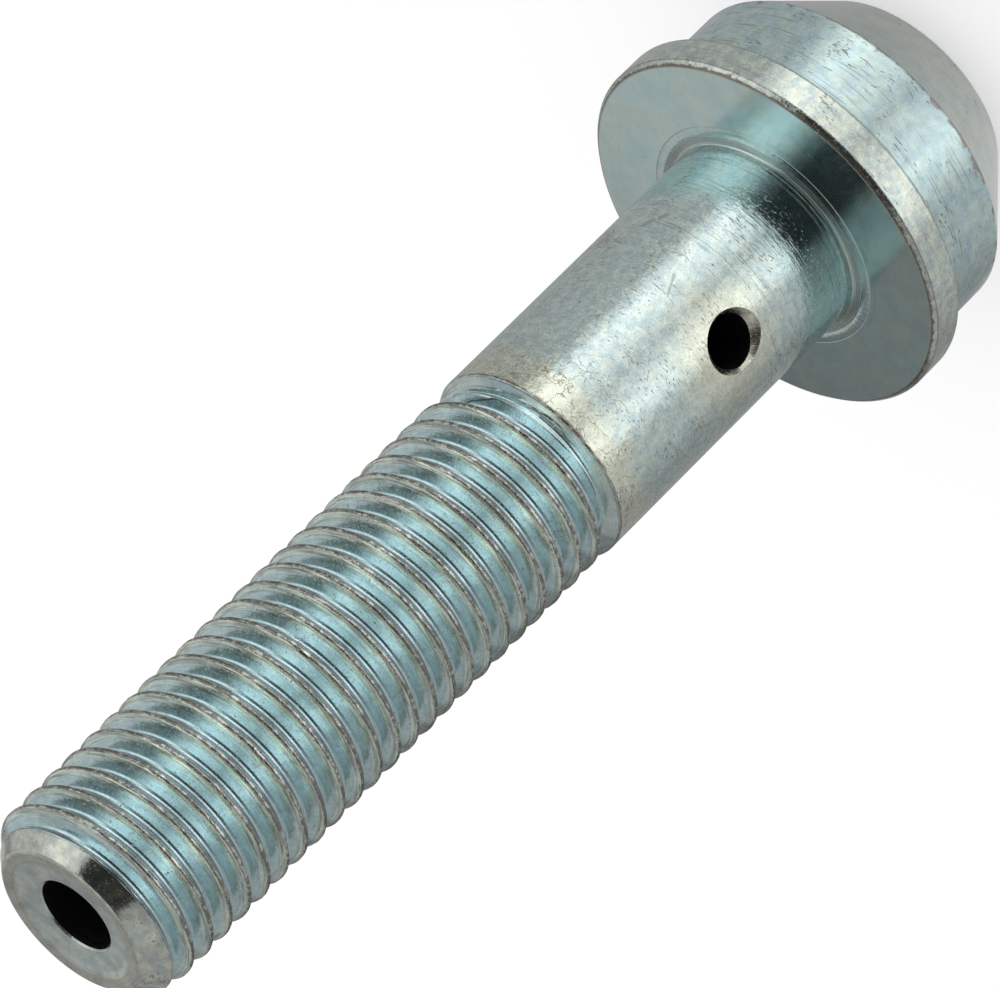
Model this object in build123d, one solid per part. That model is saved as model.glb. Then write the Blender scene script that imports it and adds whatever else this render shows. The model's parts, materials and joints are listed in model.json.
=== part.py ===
from build123d import *
import math
import os

# Banjo bolt with a round flanged head: one piece, turned from steel bar, thread rolled, zinc plated.
# Millimetres. The origin is the centre of the head's flat top, on which the bolt stands,
# and +Z runs along the bolt's axis towards the threaded end. The cross hole faces -Y.

# Shank and thread
under_head_length = 57.5        # seal face to threaded end
thread_diameter = 12.0          # over the crests of the M12 x 1.5 thread
thread_length = 35.5            # threaded end to the run-out
runout_width = 1.5              # last groove, between the thread and the plain shank
runout_depth = 0.8              # below the crests
runout_flank_angle = 30.0       # its thread side, from square to the axis
shank_diameter = 12.2
end_face_diameter = 9.0         # rim of the threaded end, inside its chamfer
end_chamfer_angle = 45.0        # from the axis, in degrees
end_rim_radius = 0.2
end_dish_depth = 0.35           # the end face falls in towards the bore

# Head
flange_diameter = 23.1
flange_thickness = 2.4
flange_rim_chamfer = 0.3
boss_diameter = 20.8
boss_height = 4.8               # straight band between the flange and the crown
crown_height = 5.0              # cone from the boss to the flat top
crown_flat_diameter = 13.6
crown_edge_radius = 0.25
under_head_fillet = 1.2

# Fluid way
bore_diameter = 4.5
bore_lip_chamfer = 0.08
bore_past_cross_hole = 2.5      # full bore beyond the cross hole's axis
drill_point_angle = 118.0
cross_hole_diameter = 3.0
cross_hole_drop = 9.1           # seal face to the cross hole's axis
cross_hole_chamfer = 0.45

# Hexagon socket in the head
socket_across_flats = 8.0
socket_depth = 6.0
socket_lead_in = 0.4            # countersink past the hexagon's corners
socket_floor_angle = 120.0

# Places along the axis
boss_foot = crown_height + boss_height
seal_face = boss_foot + flange_thickness
threaded_end = seal_face + under_head_length
thread_start = threaded_end - thread_length
shank_end = thread_start - runout_width
cross_hole_axis = seal_face + cross_hole_drop

# Radii
thread_radius = thread_diameter / 2
runout_radius = thread_radius - runout_depth
shank_radius = shank_diameter / 2
end_face_radius = end_face_diameter / 2
flange_radius = flange_diameter / 2
boss_radius = boss_diameter / 2
crown_flat_radius = crown_flat_diameter / 2
bore_radius = bore_diameter / 2
cross_hole_radius = cross_hole_diameter / 2
socket_corner_radius = socket_across_flats / math.sqrt(3)

CUT_MARGIN = 1.0                # how far a cutting tool starts outside the metal


def cone_height(radius, full_angle):
    """Height of a cone with this base radius and full point angle."""
    return radius / math.tan(math.radians(full_angle / 2))


def rounded(outline, x, z, radius):
    """Round the outline's corner at (x, z)."""
    corner = outline.vertices().sort_by_distance((x, z))[0]
    return fillet(corner, radius)


def turned_blank():
    """The bolt before drilling, turned about Z. The thread is a plain band over its crests."""
    chamfer_height = (thread_radius - end_face_radius) / math.tan(math.radians(end_chamfer_angle))
    runout_root = thread_start - runout_depth * math.tan(math.radians(runout_flank_angle))
    outline = make_face(
        Polyline(
            (0, 0),
            (crown_flat_radius, 0),
            (boss_radius, crown_height),
            (boss_radius, boss_foot),
            (flange_radius - flange_rim_chamfer, boss_foot),
            (flange_radius, boss_foot + flange_rim_chamfer),
            (flange_radius, seal_face - flange_rim_chamfer),
            (flange_radius - flange_rim_chamfer, seal_face),
            (shank_radius, seal_face),
            (shank_radius, shank_end),
            (runout_radius, runout_root),
            (thread_radius, thread_start),
            (thread_radius, threaded_end - chamfer_height),
            (end_face_radius, threaded_end),
            (bore_radius, threaded_end - end_dish_depth),
            (0, threaded_end - end_dish_depth),
            close=True,
        )
    )
    outline = rounded(outline, crown_flat_radius, 0, crown_edge_radius)
    outline = rounded(outline, shank_radius, seal_face, under_head_fillet)
    outline = rounded(outline, end_face_radius, threaded_end, end_rim_radius)
    return revolve(Plane.XZ * outline, Axis.Z)


def drill(radius, depth, lip_chamfer):
    """A drill's cut from a mouth at the origin down -Z: full bore to depth, point, chamfered lip."""
    point = cone_height(radius, drill_point_angle)
    lip_radius = radius + lip_chamfer
    section = make_face(
        Polyline(
            (0, CUT_MARGIN),
            (lip_radius + CUT_MARGIN, CUT_MARGIN),
            (lip_radius, 0),
            (radius, -lip_chamfer),
            (radius, -depth),
            (0, -depth - point),
            close=True,
        )
    )
    return revolve(Plane.XZ * section, Axis.Z)


def axial_bore():
    """Blind bore up the middle, from the threaded end to just past the cross hole."""
    mouth = threaded_end - end_dish_depth
    depth = mouth - cross_hole_axis + bore_past_cross_hole
    return Pos(0, 0, mouth) * drill(bore_radius, depth, bore_lip_chamfer)


def cross_hole():
    """Hole through the shank's -Y wall into the axial bore, with a chamfered rim."""
    drilling = drill(cross_hole_radius, shank_radius, cross_hole_chamfer)
    mouth = Plane(origin=(0, -shank_radius, cross_hole_axis), x_dir=(1, 0, 0), z_dir=(0, -1, 0))
    return mouth * drilling


def hexagon_socket():
    """Hexagon key socket in the flat top, with a countersunk mouth and a drilled floor."""
    hexagon = RegularPolygon(socket_corner_radius, 6)
    walls = extrude(hexagon, socket_depth)
    floor_radius = socket_across_flats / 2
    floor_height = cone_height(floor_radius, socket_floor_angle)
    floor = Pos(0, 0, socket_depth + floor_height / 2) * Cone(floor_radius, 0, floor_height)
    mouth_radius = socket_corner_radius + socket_lead_in
    mouth_height = cone_height(mouth_radius, socket_floor_angle)
    mouth = Pos(0, 0, mouth_height / 2) * Cone(mouth_radius, 0, mouth_height)
    return walls + floor + mouth


def banjo_bolt():
    """The finished bolt."""
    return turned_blank() - axial_bore() - cross_hole() - hexagon_socket()


os.makedirs("parts", exist_ok=True)
export_step(banjo_bolt(), "parts/banjo_bolt.step")
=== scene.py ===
"""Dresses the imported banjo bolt: one plated steel piece with a rolled thread, on a pale studio floor."""

import json
import logging
import math
from dataclasses import dataclass, field
from enum import Enum
from functools import cached_property

import bpy
from mathutils import Matrix, Vector, noise


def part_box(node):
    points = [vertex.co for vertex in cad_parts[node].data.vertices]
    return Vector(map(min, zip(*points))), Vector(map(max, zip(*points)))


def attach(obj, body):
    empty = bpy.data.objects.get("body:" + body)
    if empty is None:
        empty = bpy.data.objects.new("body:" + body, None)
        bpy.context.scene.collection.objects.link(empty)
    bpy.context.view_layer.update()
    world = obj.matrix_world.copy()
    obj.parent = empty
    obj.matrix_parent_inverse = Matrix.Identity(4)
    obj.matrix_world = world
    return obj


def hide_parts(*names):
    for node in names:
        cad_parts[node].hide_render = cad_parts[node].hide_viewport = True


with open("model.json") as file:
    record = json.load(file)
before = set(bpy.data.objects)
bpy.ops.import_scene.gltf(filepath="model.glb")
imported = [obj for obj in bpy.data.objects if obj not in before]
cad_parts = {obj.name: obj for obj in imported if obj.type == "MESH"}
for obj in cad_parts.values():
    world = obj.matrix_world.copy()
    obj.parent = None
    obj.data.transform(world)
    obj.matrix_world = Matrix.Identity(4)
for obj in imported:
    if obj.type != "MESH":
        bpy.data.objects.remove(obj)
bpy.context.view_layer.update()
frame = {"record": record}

LOG = logging.getLogger("banjo_bolt")

MM = 0.001  # one millimetre in metres: the bench works in millimetres
MERGE_GAP = 1e-4  # corners closer than this, in millimetres, are one
BODY = "root"  # the one body of a part without joints
CAD_NODE = "banjo_bolt"

Point = tuple[float, float]  # mostly (radius, height) of an outline, in millimetres
Point3 = tuple[float, float, float]
Piece = bpy.types.Object


class Region(Enum):
    """The stretches of the bolt that have a finish of their own."""

    CROWN = 0
    BOSS = 1
    RIM = 2
    SEAL_FACE = 3
    SHANK = 4
    RUNOUT = 5
    THREAD = 6
    END = 7
    DISH = 8
    HOLE_EDGE = 9
    BORE = 10


# ---- bench work


def millimetres(metres: float) -> float:
    """Turns a length of the frame into millimetres."""
    return metres / MM


def frame_mount(name: str) -> dict:
    """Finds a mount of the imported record.

    Args:
        name: The mount's name.

    Returns:
        The mount as the record gives it, with its place in metres and its sizes in millimetres.
    """
    return next(mount for mount in frame["record"]["mounts"] if mount["name"] == name)


def deselect_all() -> None:
    """Leaves no object selected, so that an operator acts on the new piece alone."""
    bpy.ops.object.select_all(action="DESELECT")


def make_active(piece: Piece) -> None:
    """Selects one object alone and makes it the active one.

    Args:
        piece: The object.
    """
    deselect_all()
    piece.select_set(True)
    bpy.context.view_layer.objects.active = piece


def edit(piece: Piece, pick: str = "VERT", select: bool = False) -> None:
    """Opens a piece in edit mode, with all or nothing selected in it.

    Args:
        piece: The piece to open.
        pick: What is picked in it: VERT, EDGE or FACE.
        select: Whether all of it is selected.
    """
    make_active(piece)
    bpy.ops.object.mode_set(mode="EDIT")
    bpy.ops.mesh.select_mode(type=pick)
    bpy.ops.mesh.select_all(action="SELECT" if select else "DESELECT")


def leave_edit() -> None:
    """Goes back to object mode."""
    bpy.ops.object.mode_set(mode="OBJECT")


def edit_chosen(piece: Piece, pick: str, wanted: list[int]) -> None:
    """Opens a piece in edit mode with some of its faces or edges selected.

    Args:
        piece: The piece to open.
        pick: EDGE or FACE.
        wanted: The numbers of the edges or faces to select.
    """
    edit(piece, pick)
    leave_edit()
    items = piece.data.polygons if pick == "FACE" else piece.data.edges
    for number in wanted:
        items[number].select = True
    bpy.ops.object.mode_set(mode="EDIT")


def round_corner(before: Point, corner: Point, after: Point, radius: float, steps: int = 4) -> list[Point]:
    """Rounds one corner of an outline with a tangent arc.

    Args:
        before: The outline's point before the corner.
        corner: The sharp corner.
        after: The outline's point after the corner.
        radius: The arc's radius.
        steps: How many straight pieces the arc has.

    Returns:
        The arc's points, in the order of the outline.
    """
    corner_at = Vector(corner)
    to_before = (Vector(before) - corner_at).normalized()
    to_after = (Vector(after) - corner_at).normalized()
    half_angle = to_before.angle(to_after) / 2
    centre = corner_at + (to_before + to_after).normalized() * radius / math.sin(half_angle)
    start = corner_at + to_before * radius / math.tan(half_angle) - centre
    end = corner_at + to_after * radius / math.tan(half_angle) - centre
    sweep = math.pi - 2 * half_angle
    points = []
    for step in range(steps + 1):
        share = step / steps
        arm = (start * math.sin((1 - share) * sweep) + end * math.sin(share * sweep)) / math.sin(sweep)
        points.append(tuple(centre + arm))
    return points


def trace_outline(name: str, points: list[Point]) -> Piece:
    """Draws an open outline beside the axis, one extruded corner after another.

    Args:
        name: The new object's name.
        points: The outline's corners as (radius, height).

    Returns:
        An object that holds the outline's edges, in the XZ plane.
    """
    deselect_all()
    first_radius, first_height = points[0]
    bpy.ops.mesh.primitive_plane_add(size=1.0)
    outline = bpy.context.object
    outline.name = name
    edit(outline, select=True)
    bpy.ops.mesh.merge(type="CENTER")
    bpy.ops.transform.translate(value=(first_radius, 0, first_height))
    for (radius, height), (next_radius, next_height) in zip(points, points[1:]):
        step = (next_radius - radius, 0, next_height - height)
        bpy.ops.mesh.extrude_vertices_move(TRANSFORM_OT_translate={"value": step})
    leave_edit()
    return outline


def clean_up(piece: Piece, gap: float = MERGE_GAP) -> None:
    """Merges doubled corners and turns every face outwards.

    Args:
        piece: The piece to clean.
        gap: Corners closer than this are merged.
    """
    edit(piece, select=True)
    bpy.ops.mesh.remove_doubles(threshold=gap)
    bpy.ops.mesh.dissolve_degenerate(threshold=gap)
    bpy.ops.mesh.select_all(action="SELECT")
    bpy.ops.mesh.normals_make_consistent(inside=False)
    leave_edit()


def turn(name: str, points: list[Point], steps: int) -> Piece:
    """Turns an outline round the Z axis, as on a lathe.

    Args:
        name: The new object's name.
        points: The outline as (radius, height).
        steps: How many faces go round the axis.

    Returns:
        The turned piece, with its seam closed.
    """
    piece = trace_outline(name, points)
    edit(piece, select=True)
    bpy.ops.mesh.spin(steps=steps, angle=2 * math.pi, center=(0, 0, 0), axis=(0, 0, 1))
    leave_edit()
    clean_up(piece)
    return piece


def apply_modifier(piece: Piece, kind: str, **settings: object) -> None:
    """Adds a modifier to a piece and applies it at once.

    Args:
        piece: The piece to change.
        kind: Blender's name for the kind of modifier.
        settings: The modifier's settings by name.
    """
    make_active(piece)
    modifier = piece.modifiers.new(kind.title(), kind)
    for key, value in settings.items():
        setattr(modifier, key, value)
    bpy.ops.object.modifier_apply(modifier=modifier.name)


def cut_away(piece: Piece, tool: Piece) -> None:
    """Cuts a tool's shape out of a piece and puts the tool away."""
    apply_modifier(piece, "BOOLEAN", operation="DIFFERENCE", solver="EXACT", object=tool)
    bpy.data.objects.remove(tool)


def join(pieces: list[Piece], name: str) -> Piece:
    """Joins several meshes into one object.

    Args:
        pieces: The meshes to join.
        name: The name of the joined object.

    Returns:
        The joined object.
    """
    make_active(pieces[0])
    for piece in pieces:
        piece.select_set(True)
    bpy.ops.object.join()
    pieces[0].name = name
    return pieces[0]


def place_on_wall(radius: float, azimuth: float, height: float) -> Vector:
    """Gives a place by its radius, its degrees from +X and its height."""
    return Matrix.Rotation(math.radians(azimuth), 3, "Z") @ Vector((radius, 0, height))


def clamp(value: float) -> float:
    """Keeps a value between 0 and 1."""
    return max(0.0, min(1.0, value))


def smooth_step(value: float, low: float, high: float) -> float:
    """Rises smoothly from 0 at low to 1 at high."""
    share = clamp((value - low) / (high - low))
    return share * share * (3 - 2 * share)


def soft_lower(first: float, second: float, blend: float) -> float:
    """Gives the lower of two values, with the corner between them rounded over a blend."""
    share = clamp(0.5 + 0.5 * (second - first) / blend)
    return second + (first - second) * share - blend * share * (1 - share)


# ---- the bolt's shape


@dataclass
class Head:
    """Round head: coned crown, straight boss, thin flange and the hexagon socket underneath."""

    flange_radius: float
    seal_face: float  # height of the flange's upper face
    shank_radius: float
    flange_thickness: float = 2.4
    rim_chamfer: float = 0.3
    rim_edge_radius: float = 0.12
    boss_radius: float = 10.4
    crown_height: float = 5.0
    crown_flat_radius: float = 6.8
    crown_edge_radius: float = 0.25
    crown_shoulder_radius: float = 0.3
    boss_foot_radius: float = 0.12
    under_head_fillet: float = 0.14
    ring_radii: tuple[float, ...] = (7.24, 6.64, 6.52, 6.40, 6.28)
    ring_depth: float = 0.017
    ring_half_width: float = 0.045
    socket_across_flats: float = 8.0
    socket_depth: float = 6.0
    socket_lead_in: float = 0.4
    socket_floor_angle: float = 120.0
    socket_drill_gap: float = 0.01  # between the floor's drill and the hexagon's flats

    @property
    def boss_foot(self) -> float:
        """Height of the flange's lower face, where the boss ends."""
        return self.seal_face - self.flange_thickness

    def outline(self) -> list[Point]:
        """Lists the head's outline from the centre of its flat top to the foot of the shank.

        Returns:
            The outline as (radius, height).
        """
        boss_foot = self.boss_foot
        rim_inner = self.flange_radius - self.rim_chamfer
        corners = [
            (0.0, 0.0, 0.0),
            (self.crown_flat_radius, 0.0, self.crown_edge_radius),
            (self.boss_radius, self.crown_height, self.crown_shoulder_radius),
            (self.boss_radius, boss_foot, self.boss_foot_radius),
            (rim_inner, boss_foot, self.rim_edge_radius),
            (self.flange_radius, boss_foot + self.rim_chamfer, self.rim_edge_radius),
            (self.flange_radius, self.seal_face - self.rim_chamfer, self.rim_edge_radius),
            (rim_inner, self.seal_face, self.rim_edge_radius),
        ]
        for radius in self.ring_radii:
            corners.append((radius + self.ring_half_width, self.seal_face, 0.0))
            corners.append((radius, self.seal_face - self.ring_depth, 0.0))
            corners.append((radius - self.ring_half_width, self.seal_face, 0.0))
        corners.append((self.shank_radius, self.seal_face, self.under_head_fillet))
        corners.append((self.shank_radius, self.seal_face + 2 * self.under_head_fillet, 0.0))
        return rounded_outline(corners)

    def socket_tools(self) -> list[Piece]:
        """Makes the hexagon punch, its drilled floor and its countersink, each as a solid.

        Returns:
            The three tools.
        """
        depth = self.socket_depth
        corner_radius = self.socket_across_flats / math.sqrt(3)
        slope = math.tan(math.radians(self.socket_floor_angle / 2))
        flat_radius = self.socket_across_flats / 2
        drill_radius = flat_radius - self.socket_drill_gap
        mouth_radius = corner_radius + self.socket_lead_in
        below = -1.0
        punch = [(0, below), (corner_radius, below), (corner_radius, depth), (0, depth)]
        floor = [(0, below), (drill_radius, below), (drill_radius, depth), (0, depth + flat_radius / slope)]
        mouth = [(0, below), (mouth_radius - below * slope, below), (0, mouth_radius / slope)]
        return [
            turn("socket_punch", punch, 6),
            turn("socket_floor_drill", floor, 48),
            turn("socket_countersink", mouth, 96),
        ]


@dataclass
class FluidWay:
    """The bore up the middle and the cross hole that meets it in the shank."""

    bore_radius: float
    bore_floor: float  # height of the end of the full bore
    cross_hole_radius: float
    cross_hole_height: float
    shank_radius: float
    drill_point_angle: float = 118.0
    cross_hole_chamfer: float = 0.45
    chamfer_break: Point = (0.03, 0.06)  # the small step where the chamfer meets the hole's wall
    overshoot: float = 1.0  # how far the drill stands out of the shank
    steps: int = 64

    def bore_outline(self, top: float) -> list[Point]:
        """Lists the bore's outline from a height down to its drilled point.

        Args:
            top: The height at which it starts.

        Returns:
            The outline as (radius, height).
        """
        point = self.bore_radius / math.tan(math.radians(self.drill_point_angle / 2))
        floor = self.bore_floor
        return [(self.bore_radius, top), (self.bore_radius, floor), (0.0, floor - point)]

    def cross_drill(self) -> Piece:
        """Makes the cross hole's drill with its countersink, lying along -Y at its height.

        Returns:
            The drill, as a solid.
        """
        radius = self.cross_hole_radius
        chamfer = self.cross_hole_chamfer
        mouth = self.shank_radius
        top = mouth + self.overshoot
        step_out, step_up = self.chamfer_break
        outline = [
            (0.0, 0.0),
            (radius, 0.0),
            (radius, mouth - chamfer - step_up),
            (radius + step_out, mouth - chamfer),
            (radius + chamfer + self.overshoot, top),
            (0.0, top),
        ]
        drill = turn("cross_drill", outline, self.steps)
        make_active(drill)
        drill.rotation_euler = (math.radians(90), 0, 0)
        drill.location = (0, 0, self.cross_hole_height)
        bpy.ops.object.transform_apply(location=True, rotation=True, scale=False)
        return drill


@dataclass(frozen=True)
class Chip:
    """A knock on a crest: where it is and how large."""

    azimuth: float  # degrees from +X
    height: float
    reach: float = 0.3
    depth: float = 0.05
    tone: float = 1.0  # 1 where bright metal shows, -1 where it is brown

    def share_at(self, place: Vector, full: float, end: float) -> float:
        """Gives how much of the chip's effect a place has.

        Args:
            place: The place, in millimetres.
            full: The share of the chip's reach within which it has all of it.
            end: The share of the reach beyond which it has none.

        Returns:
            The share, from 0 to 1.
        """
        middle = place_on_wall(math.hypot(place.x, place.y), self.azimuth, self.height)
        return 1 - smooth_step((place - middle).length, full * self.reach, end * self.reach)


@dataclass
class Thread:
    """Right-handed rolled thread: worn crests, rounded roots and an unfinished last ridge."""

    crest_radius: float
    threaded_end: float
    shank_radius: float
    shank_end: float  # height of the shank's edge, where the run-out's cone starts
    end_face_radius: float
    pitch: float = 1.5
    first_crest_drop: float = 0.85  # threaded end to the first crest, on the side of the cross hole
    crest_flat: float = 0.09
    crest_rounding: float = 0.07
    shoulder_angle: float = 55.0  # degrees that the crest's rounding turns
    flank_bow: float = 1.9  # radius of the slightly bowed upper flank
    flank_angle: float = 60.0  # of the straight flank's normal, from square to the axis
    root_rounding: float = 0.25  # where the flank runs into the root
    floor_rounding: float = 0.21  # of the root's floor
    floor_angle: float = 16.0  # of the normal where one rounding meets the other
    ridge_end: float = 24.2865  # turns from the first crest to the end of the last ridge
    ridge_fade: float = 0.16  # turns over which its end dies away
    lip_radius: float = 5.58  # of the unfinished ridge at its end
    lip_growth: float = 0.17
    lip_turns: float = 0.35  # turns over which the lips grow
    lip_blend: float = 0.05
    ridge_filling: Point = (0.3, 0.95)  # turns from its end between which the ridge fills up
    seam_depth: float = 0.3  # of the valley between an unfinished ridge's two lips
    seam_side: float = 0.18  # width of the valley's sides
    runout_slope: float = 1.73  # the cone's fall for each millimetre along the axis
    corner_blend: float = 0.16  # how far the end's chamfer is rounded into the ridges
    crest_wear: float = 0.03
    wear_reach: float = 0.12  # how far below the crest the wear goes
    wear_waves: tuple[Point, ...] = ((0.4, 0.9), (0.6, 2.6))  # share, and waves for each millimetre
    cone_blend: float = 0.10  # how far the cone is rounded into the last ridge
    crest_wander: float = 0.02
    strip_low: float = 34.2  # between these heights the thread is one helical strip
    strip_high: float = 67.6
    fine_rows: int = 40  # rows for each pitch where it is shaped point by point
    steps: int = 144
    chips: tuple[Chip, ...] = (
        Chip(-69.0, 58.44),
        Chip(-49.0, 52.52),
        Chip(-103.5, 33.12, 0.16, 0.12, tone=-1.0),
        Chip(-20.0, 61.8, 0.2, 0.04, tone=0.0),
        Chip(140.0, 49.1, 0.25, 0.05, tone=0.0),
        Chip(62.0, 56.3, 0.25, 0.05, tone=0.0),
    )
    profile: list[Point] = field(default_factory=list, init=False)

    def __post_init__(self) -> None:
        """Works out the ridge's outline once."""
        self.profile = self.half_profile()

    def half_profile(self) -> list[Point]:
        """Lists one side of a full ridge as (distance along the axis, radius), from its flat to the root.

        Returns:
            The outline's points.
        """
        centre = Vector((self.crest_flat / 2, self.crest_radius - self.crest_rounding))
        points = []
        for degrees in (0.0, self.shoulder_angle / 2, self.shoulder_angle):
            points.append(centre + self.crest_rounding * self.facing(degrees))
        centre = points[-1] - self.flank_bow * self.facing(self.shoulder_angle)
        for degrees in ((self.shoulder_angle + self.flank_angle) / 2, self.flank_angle):
            points.append(centre + self.flank_bow * self.facing(degrees))
        steep, flat = self.facing(self.flank_angle), self.facing(self.floor_angle)
        foot = self.pitch / 2 - self.root_rounding * (steep.x - flat.x) - self.floor_rounding * flat.x
        fall = (foot - points[-1].x) * math.tan(math.radians(self.flank_angle))
        centre = Vector((foot, points[-1].y - fall)) + self.root_rounding * steep
        for degrees in (self.flank_angle, 46.0, 31.0, self.floor_angle):
            points.append(centre - self.root_rounding * self.facing(degrees))
        centre = points[-1] + self.floor_rounding * flat
        points.append(centre - self.floor_rounding * self.facing(0.0))
        return [tuple(point) for point in points]

    @staticmethod
    def facing(degrees: float) -> Vector:
        """Gives the unit direction, as (along the axis, outwards), that leans by an angle off square."""
        return Vector((math.sin(math.radians(degrees)), math.cos(math.radians(degrees))))

    def ridge(self) -> list[Point]:
        """Lists the outline of one pitch as (radius, height), from root to root, with its crest at 0."""
        below = [(radius, -height) for height, radius in reversed(self.profile)]
        return below + [(radius, height) for height, radius in self.profile]

    def plain_radius(self, offset: float) -> float:
        """Gives a full ridge's radius at a distance from its crest line.

        Args:
            offset: The distance along the axis.

        Returns:
            The radius there.
        """
        reach = abs(offset)
        for (near, high), (far, low) in zip(self.profile, self.profile[1:]):
            if reach <= far:
                return high + (low - high) * max(0.0, reach - near) / (far - near)
        return self.profile[-1][1]

    def crest_height(self, azimuth: float) -> float:
        """Gives the height of the first crest line at an azimuth, in radians from +X."""
        return self.threaded_end - self.first_crest_drop + self.pitch * (azimuth / (2 * math.pi) + 0.25)

    def rolled_radius(self, azimuth: float, height: float) -> float:
        """Gives the radius of the rolled ridges, of which the last isn't full and ends in two lips.

        Args:
            azimuth: The place round the axis, in radians from +X.
            height: The height along the axis.

        Returns:
            The radius there.
        """
        crest = self.crest_height(azimuth)
        ridge = round((crest - height) / self.pitch)
        offset = height - crest + ridge * self.pitch
        radius = self.plain_radius(offset)
        left = self.ridge_end - ridge + azimuth / (2 * math.pi)
        if left > 1:
            return radius
        root = self.profile[-1][1]
        full = smooth_step(left, *self.ridge_filling)
        gone = smooth_step(-left, 0.0, self.ridge_fade)
        lip = self.lip_radius + self.lip_growth * math.sqrt(clamp(left / self.lip_turns))
        lip += (self.crest_radius - lip) * full
        lip += (root - lip) * gone
        reach = self.lip_blend + 0.8 * (self.crest_radius - lip)
        inside = smooth_step(reach - abs(offset), 0.0, self.seam_side)
        valley = self.seam_depth * (1 - full) * (1 - gone) * inside
        return soft_lower(radius, lip, self.lip_blend) - valley

    def surface_radius(self, azimuth: float, height: float) -> float:
        """Gives the bolt's radius where the thread, its end chamfer and the run-out's cone meet.

        Args:
            azimuth: The place round the axis, in radians from +X.
            height: The height along the axis.

        Returns:
            The radius of the surface there.
        """
        chamfer = self.end_face_radius + self.threaded_end - height
        cone = self.shank_radius - self.runout_slope * max(0.0, height - self.shank_end)
        rolled = soft_lower(self.rolled_radius(azimuth, height), chamfer, self.corner_blend)
        return -soft_lower(-rolled, -cone, self.cone_blend)

    def age(self, place: Vector) -> None:
        """Wears a crest's corner unevenly and knocks the chips into it, moving the place itself.

        Args:
            place: The place, in millimetres.
        """
        radius = math.hypot(place.x, place.y)
        azimuth = math.atan2(place.y, place.x)
        cut = 0.0
        for chip in self.chips:
            cut += chip.depth * chip.share_at(place, 0.3, 1.0)
        crest = smooth_step(radius, self.crest_radius - self.wear_reach, self.crest_radius - 0.01)
        if place.z > self.shank_end + 0.3 and crest > 0:
            worn = sum(part * clamp(0.5 + noise.noise(place * waves)) for part, waves in self.wear_waves)
            cut += self.crest_wear * worn * crest
            if self.strip_low + 0.1 < place.z < self.strip_high - 0.1:
                drift = noise.noise(Vector((place.x * 1.3, place.y * 1.3, place.z * 0.7 + 40)))
                place.z += self.crest_wander * crest * drift
        place.x = (radius - cut) * math.cos(azimuth)
        place.y = (radius - cut) * math.sin(azimuth)

    def shape(self, tube: Piece, exact: bool) -> None:
        """Brings a tube's corners onto the thread's surface and ages them.

        Args:
            tube: The tube to shape.
            exact: Whether every corner is placed anew, and not only those near the thread's ends.
        """
        for vertex in tube.data.vertices:
            place = vertex.co
            azimuth = math.atan2(place.y, place.x)
            near_end = place.z < self.strip_low + self.pitch or place.z > self.strip_high - self.pitch
            if exact or near_end:
                radius = self.surface_radius(azimuth, place.z)
                place.x = radius * math.cos(azimuth)
                place.y = radius * math.sin(azimuth)
            self.age(place)

    def roll_strip(self, name: str, outline: list[Point], low: float, high: float) -> Piece:
        """Winds an outline of one pitch along the thread's helix and trims it square.

        Args:
            name: The strip's name.
            outline: The outline of one pitch as (radius, height).
            low: The height at which the strip is trimmed below.
            high: The height at which it is trimmed above.

        Returns:
            The strip, a tube open at both ends.
        """
        strip = trace_outline(name, outline)
        apply_modifier(
            strip,
            "SCREW",
            axis="Z",
            steps=self.steps,
            render_steps=self.steps,
            screw_offset=self.pitch,
            iterations=math.ceil((high - low) / self.pitch) + 2,
            use_merge_vertices=False,
        )
        turns = math.ceil((self.crest_height(0.0) - low) / self.pitch) + 1
        strip.data.transform(Matrix.Translation((0, 0, self.crest_height(0.0) - turns * self.pitch)))
        clean_up(strip)
        for height, above in ((low, False), (high, True)):
            edit(strip, select=True)
            bpy.ops.mesh.bisect(
                plane_co=(0, 0, height),
                plane_no=(0, 0, 1),
                clear_inner=not above,
                clear_outer=above,
                threshold=MERGE_GAP,
            )
            leave_edit()
        return strip

    def build_middle(self) -> Piece:
        """Rolls the thread's long middle, of full ridges.

        Returns:
            The shaped strip.
        """
        strip = self.roll_strip("rolled_thread", self.ridge(), self.strip_low, self.strip_high)
        self.shape(strip, exact=False)
        return strip

    def build_end(self, name: str, lowest: float, highest: float) -> Piece:
        """Rolls a plain finely divided strip and shapes one end of the thread on it.

        Args:
            name: The strip's name.
            lowest: The height at which it starts.
            highest: The height at which it ends.

        Returns:
            The shaped strip.
        """
        rows = [self.pitch * (row / self.fine_rows - 0.5) for row in range(self.fine_rows + 1)]
        strip = self.roll_strip(name, [(self.shank_radius, row) for row in rows], lowest, highest)
        self.shape(strip, exact=True)
        return strip


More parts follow.
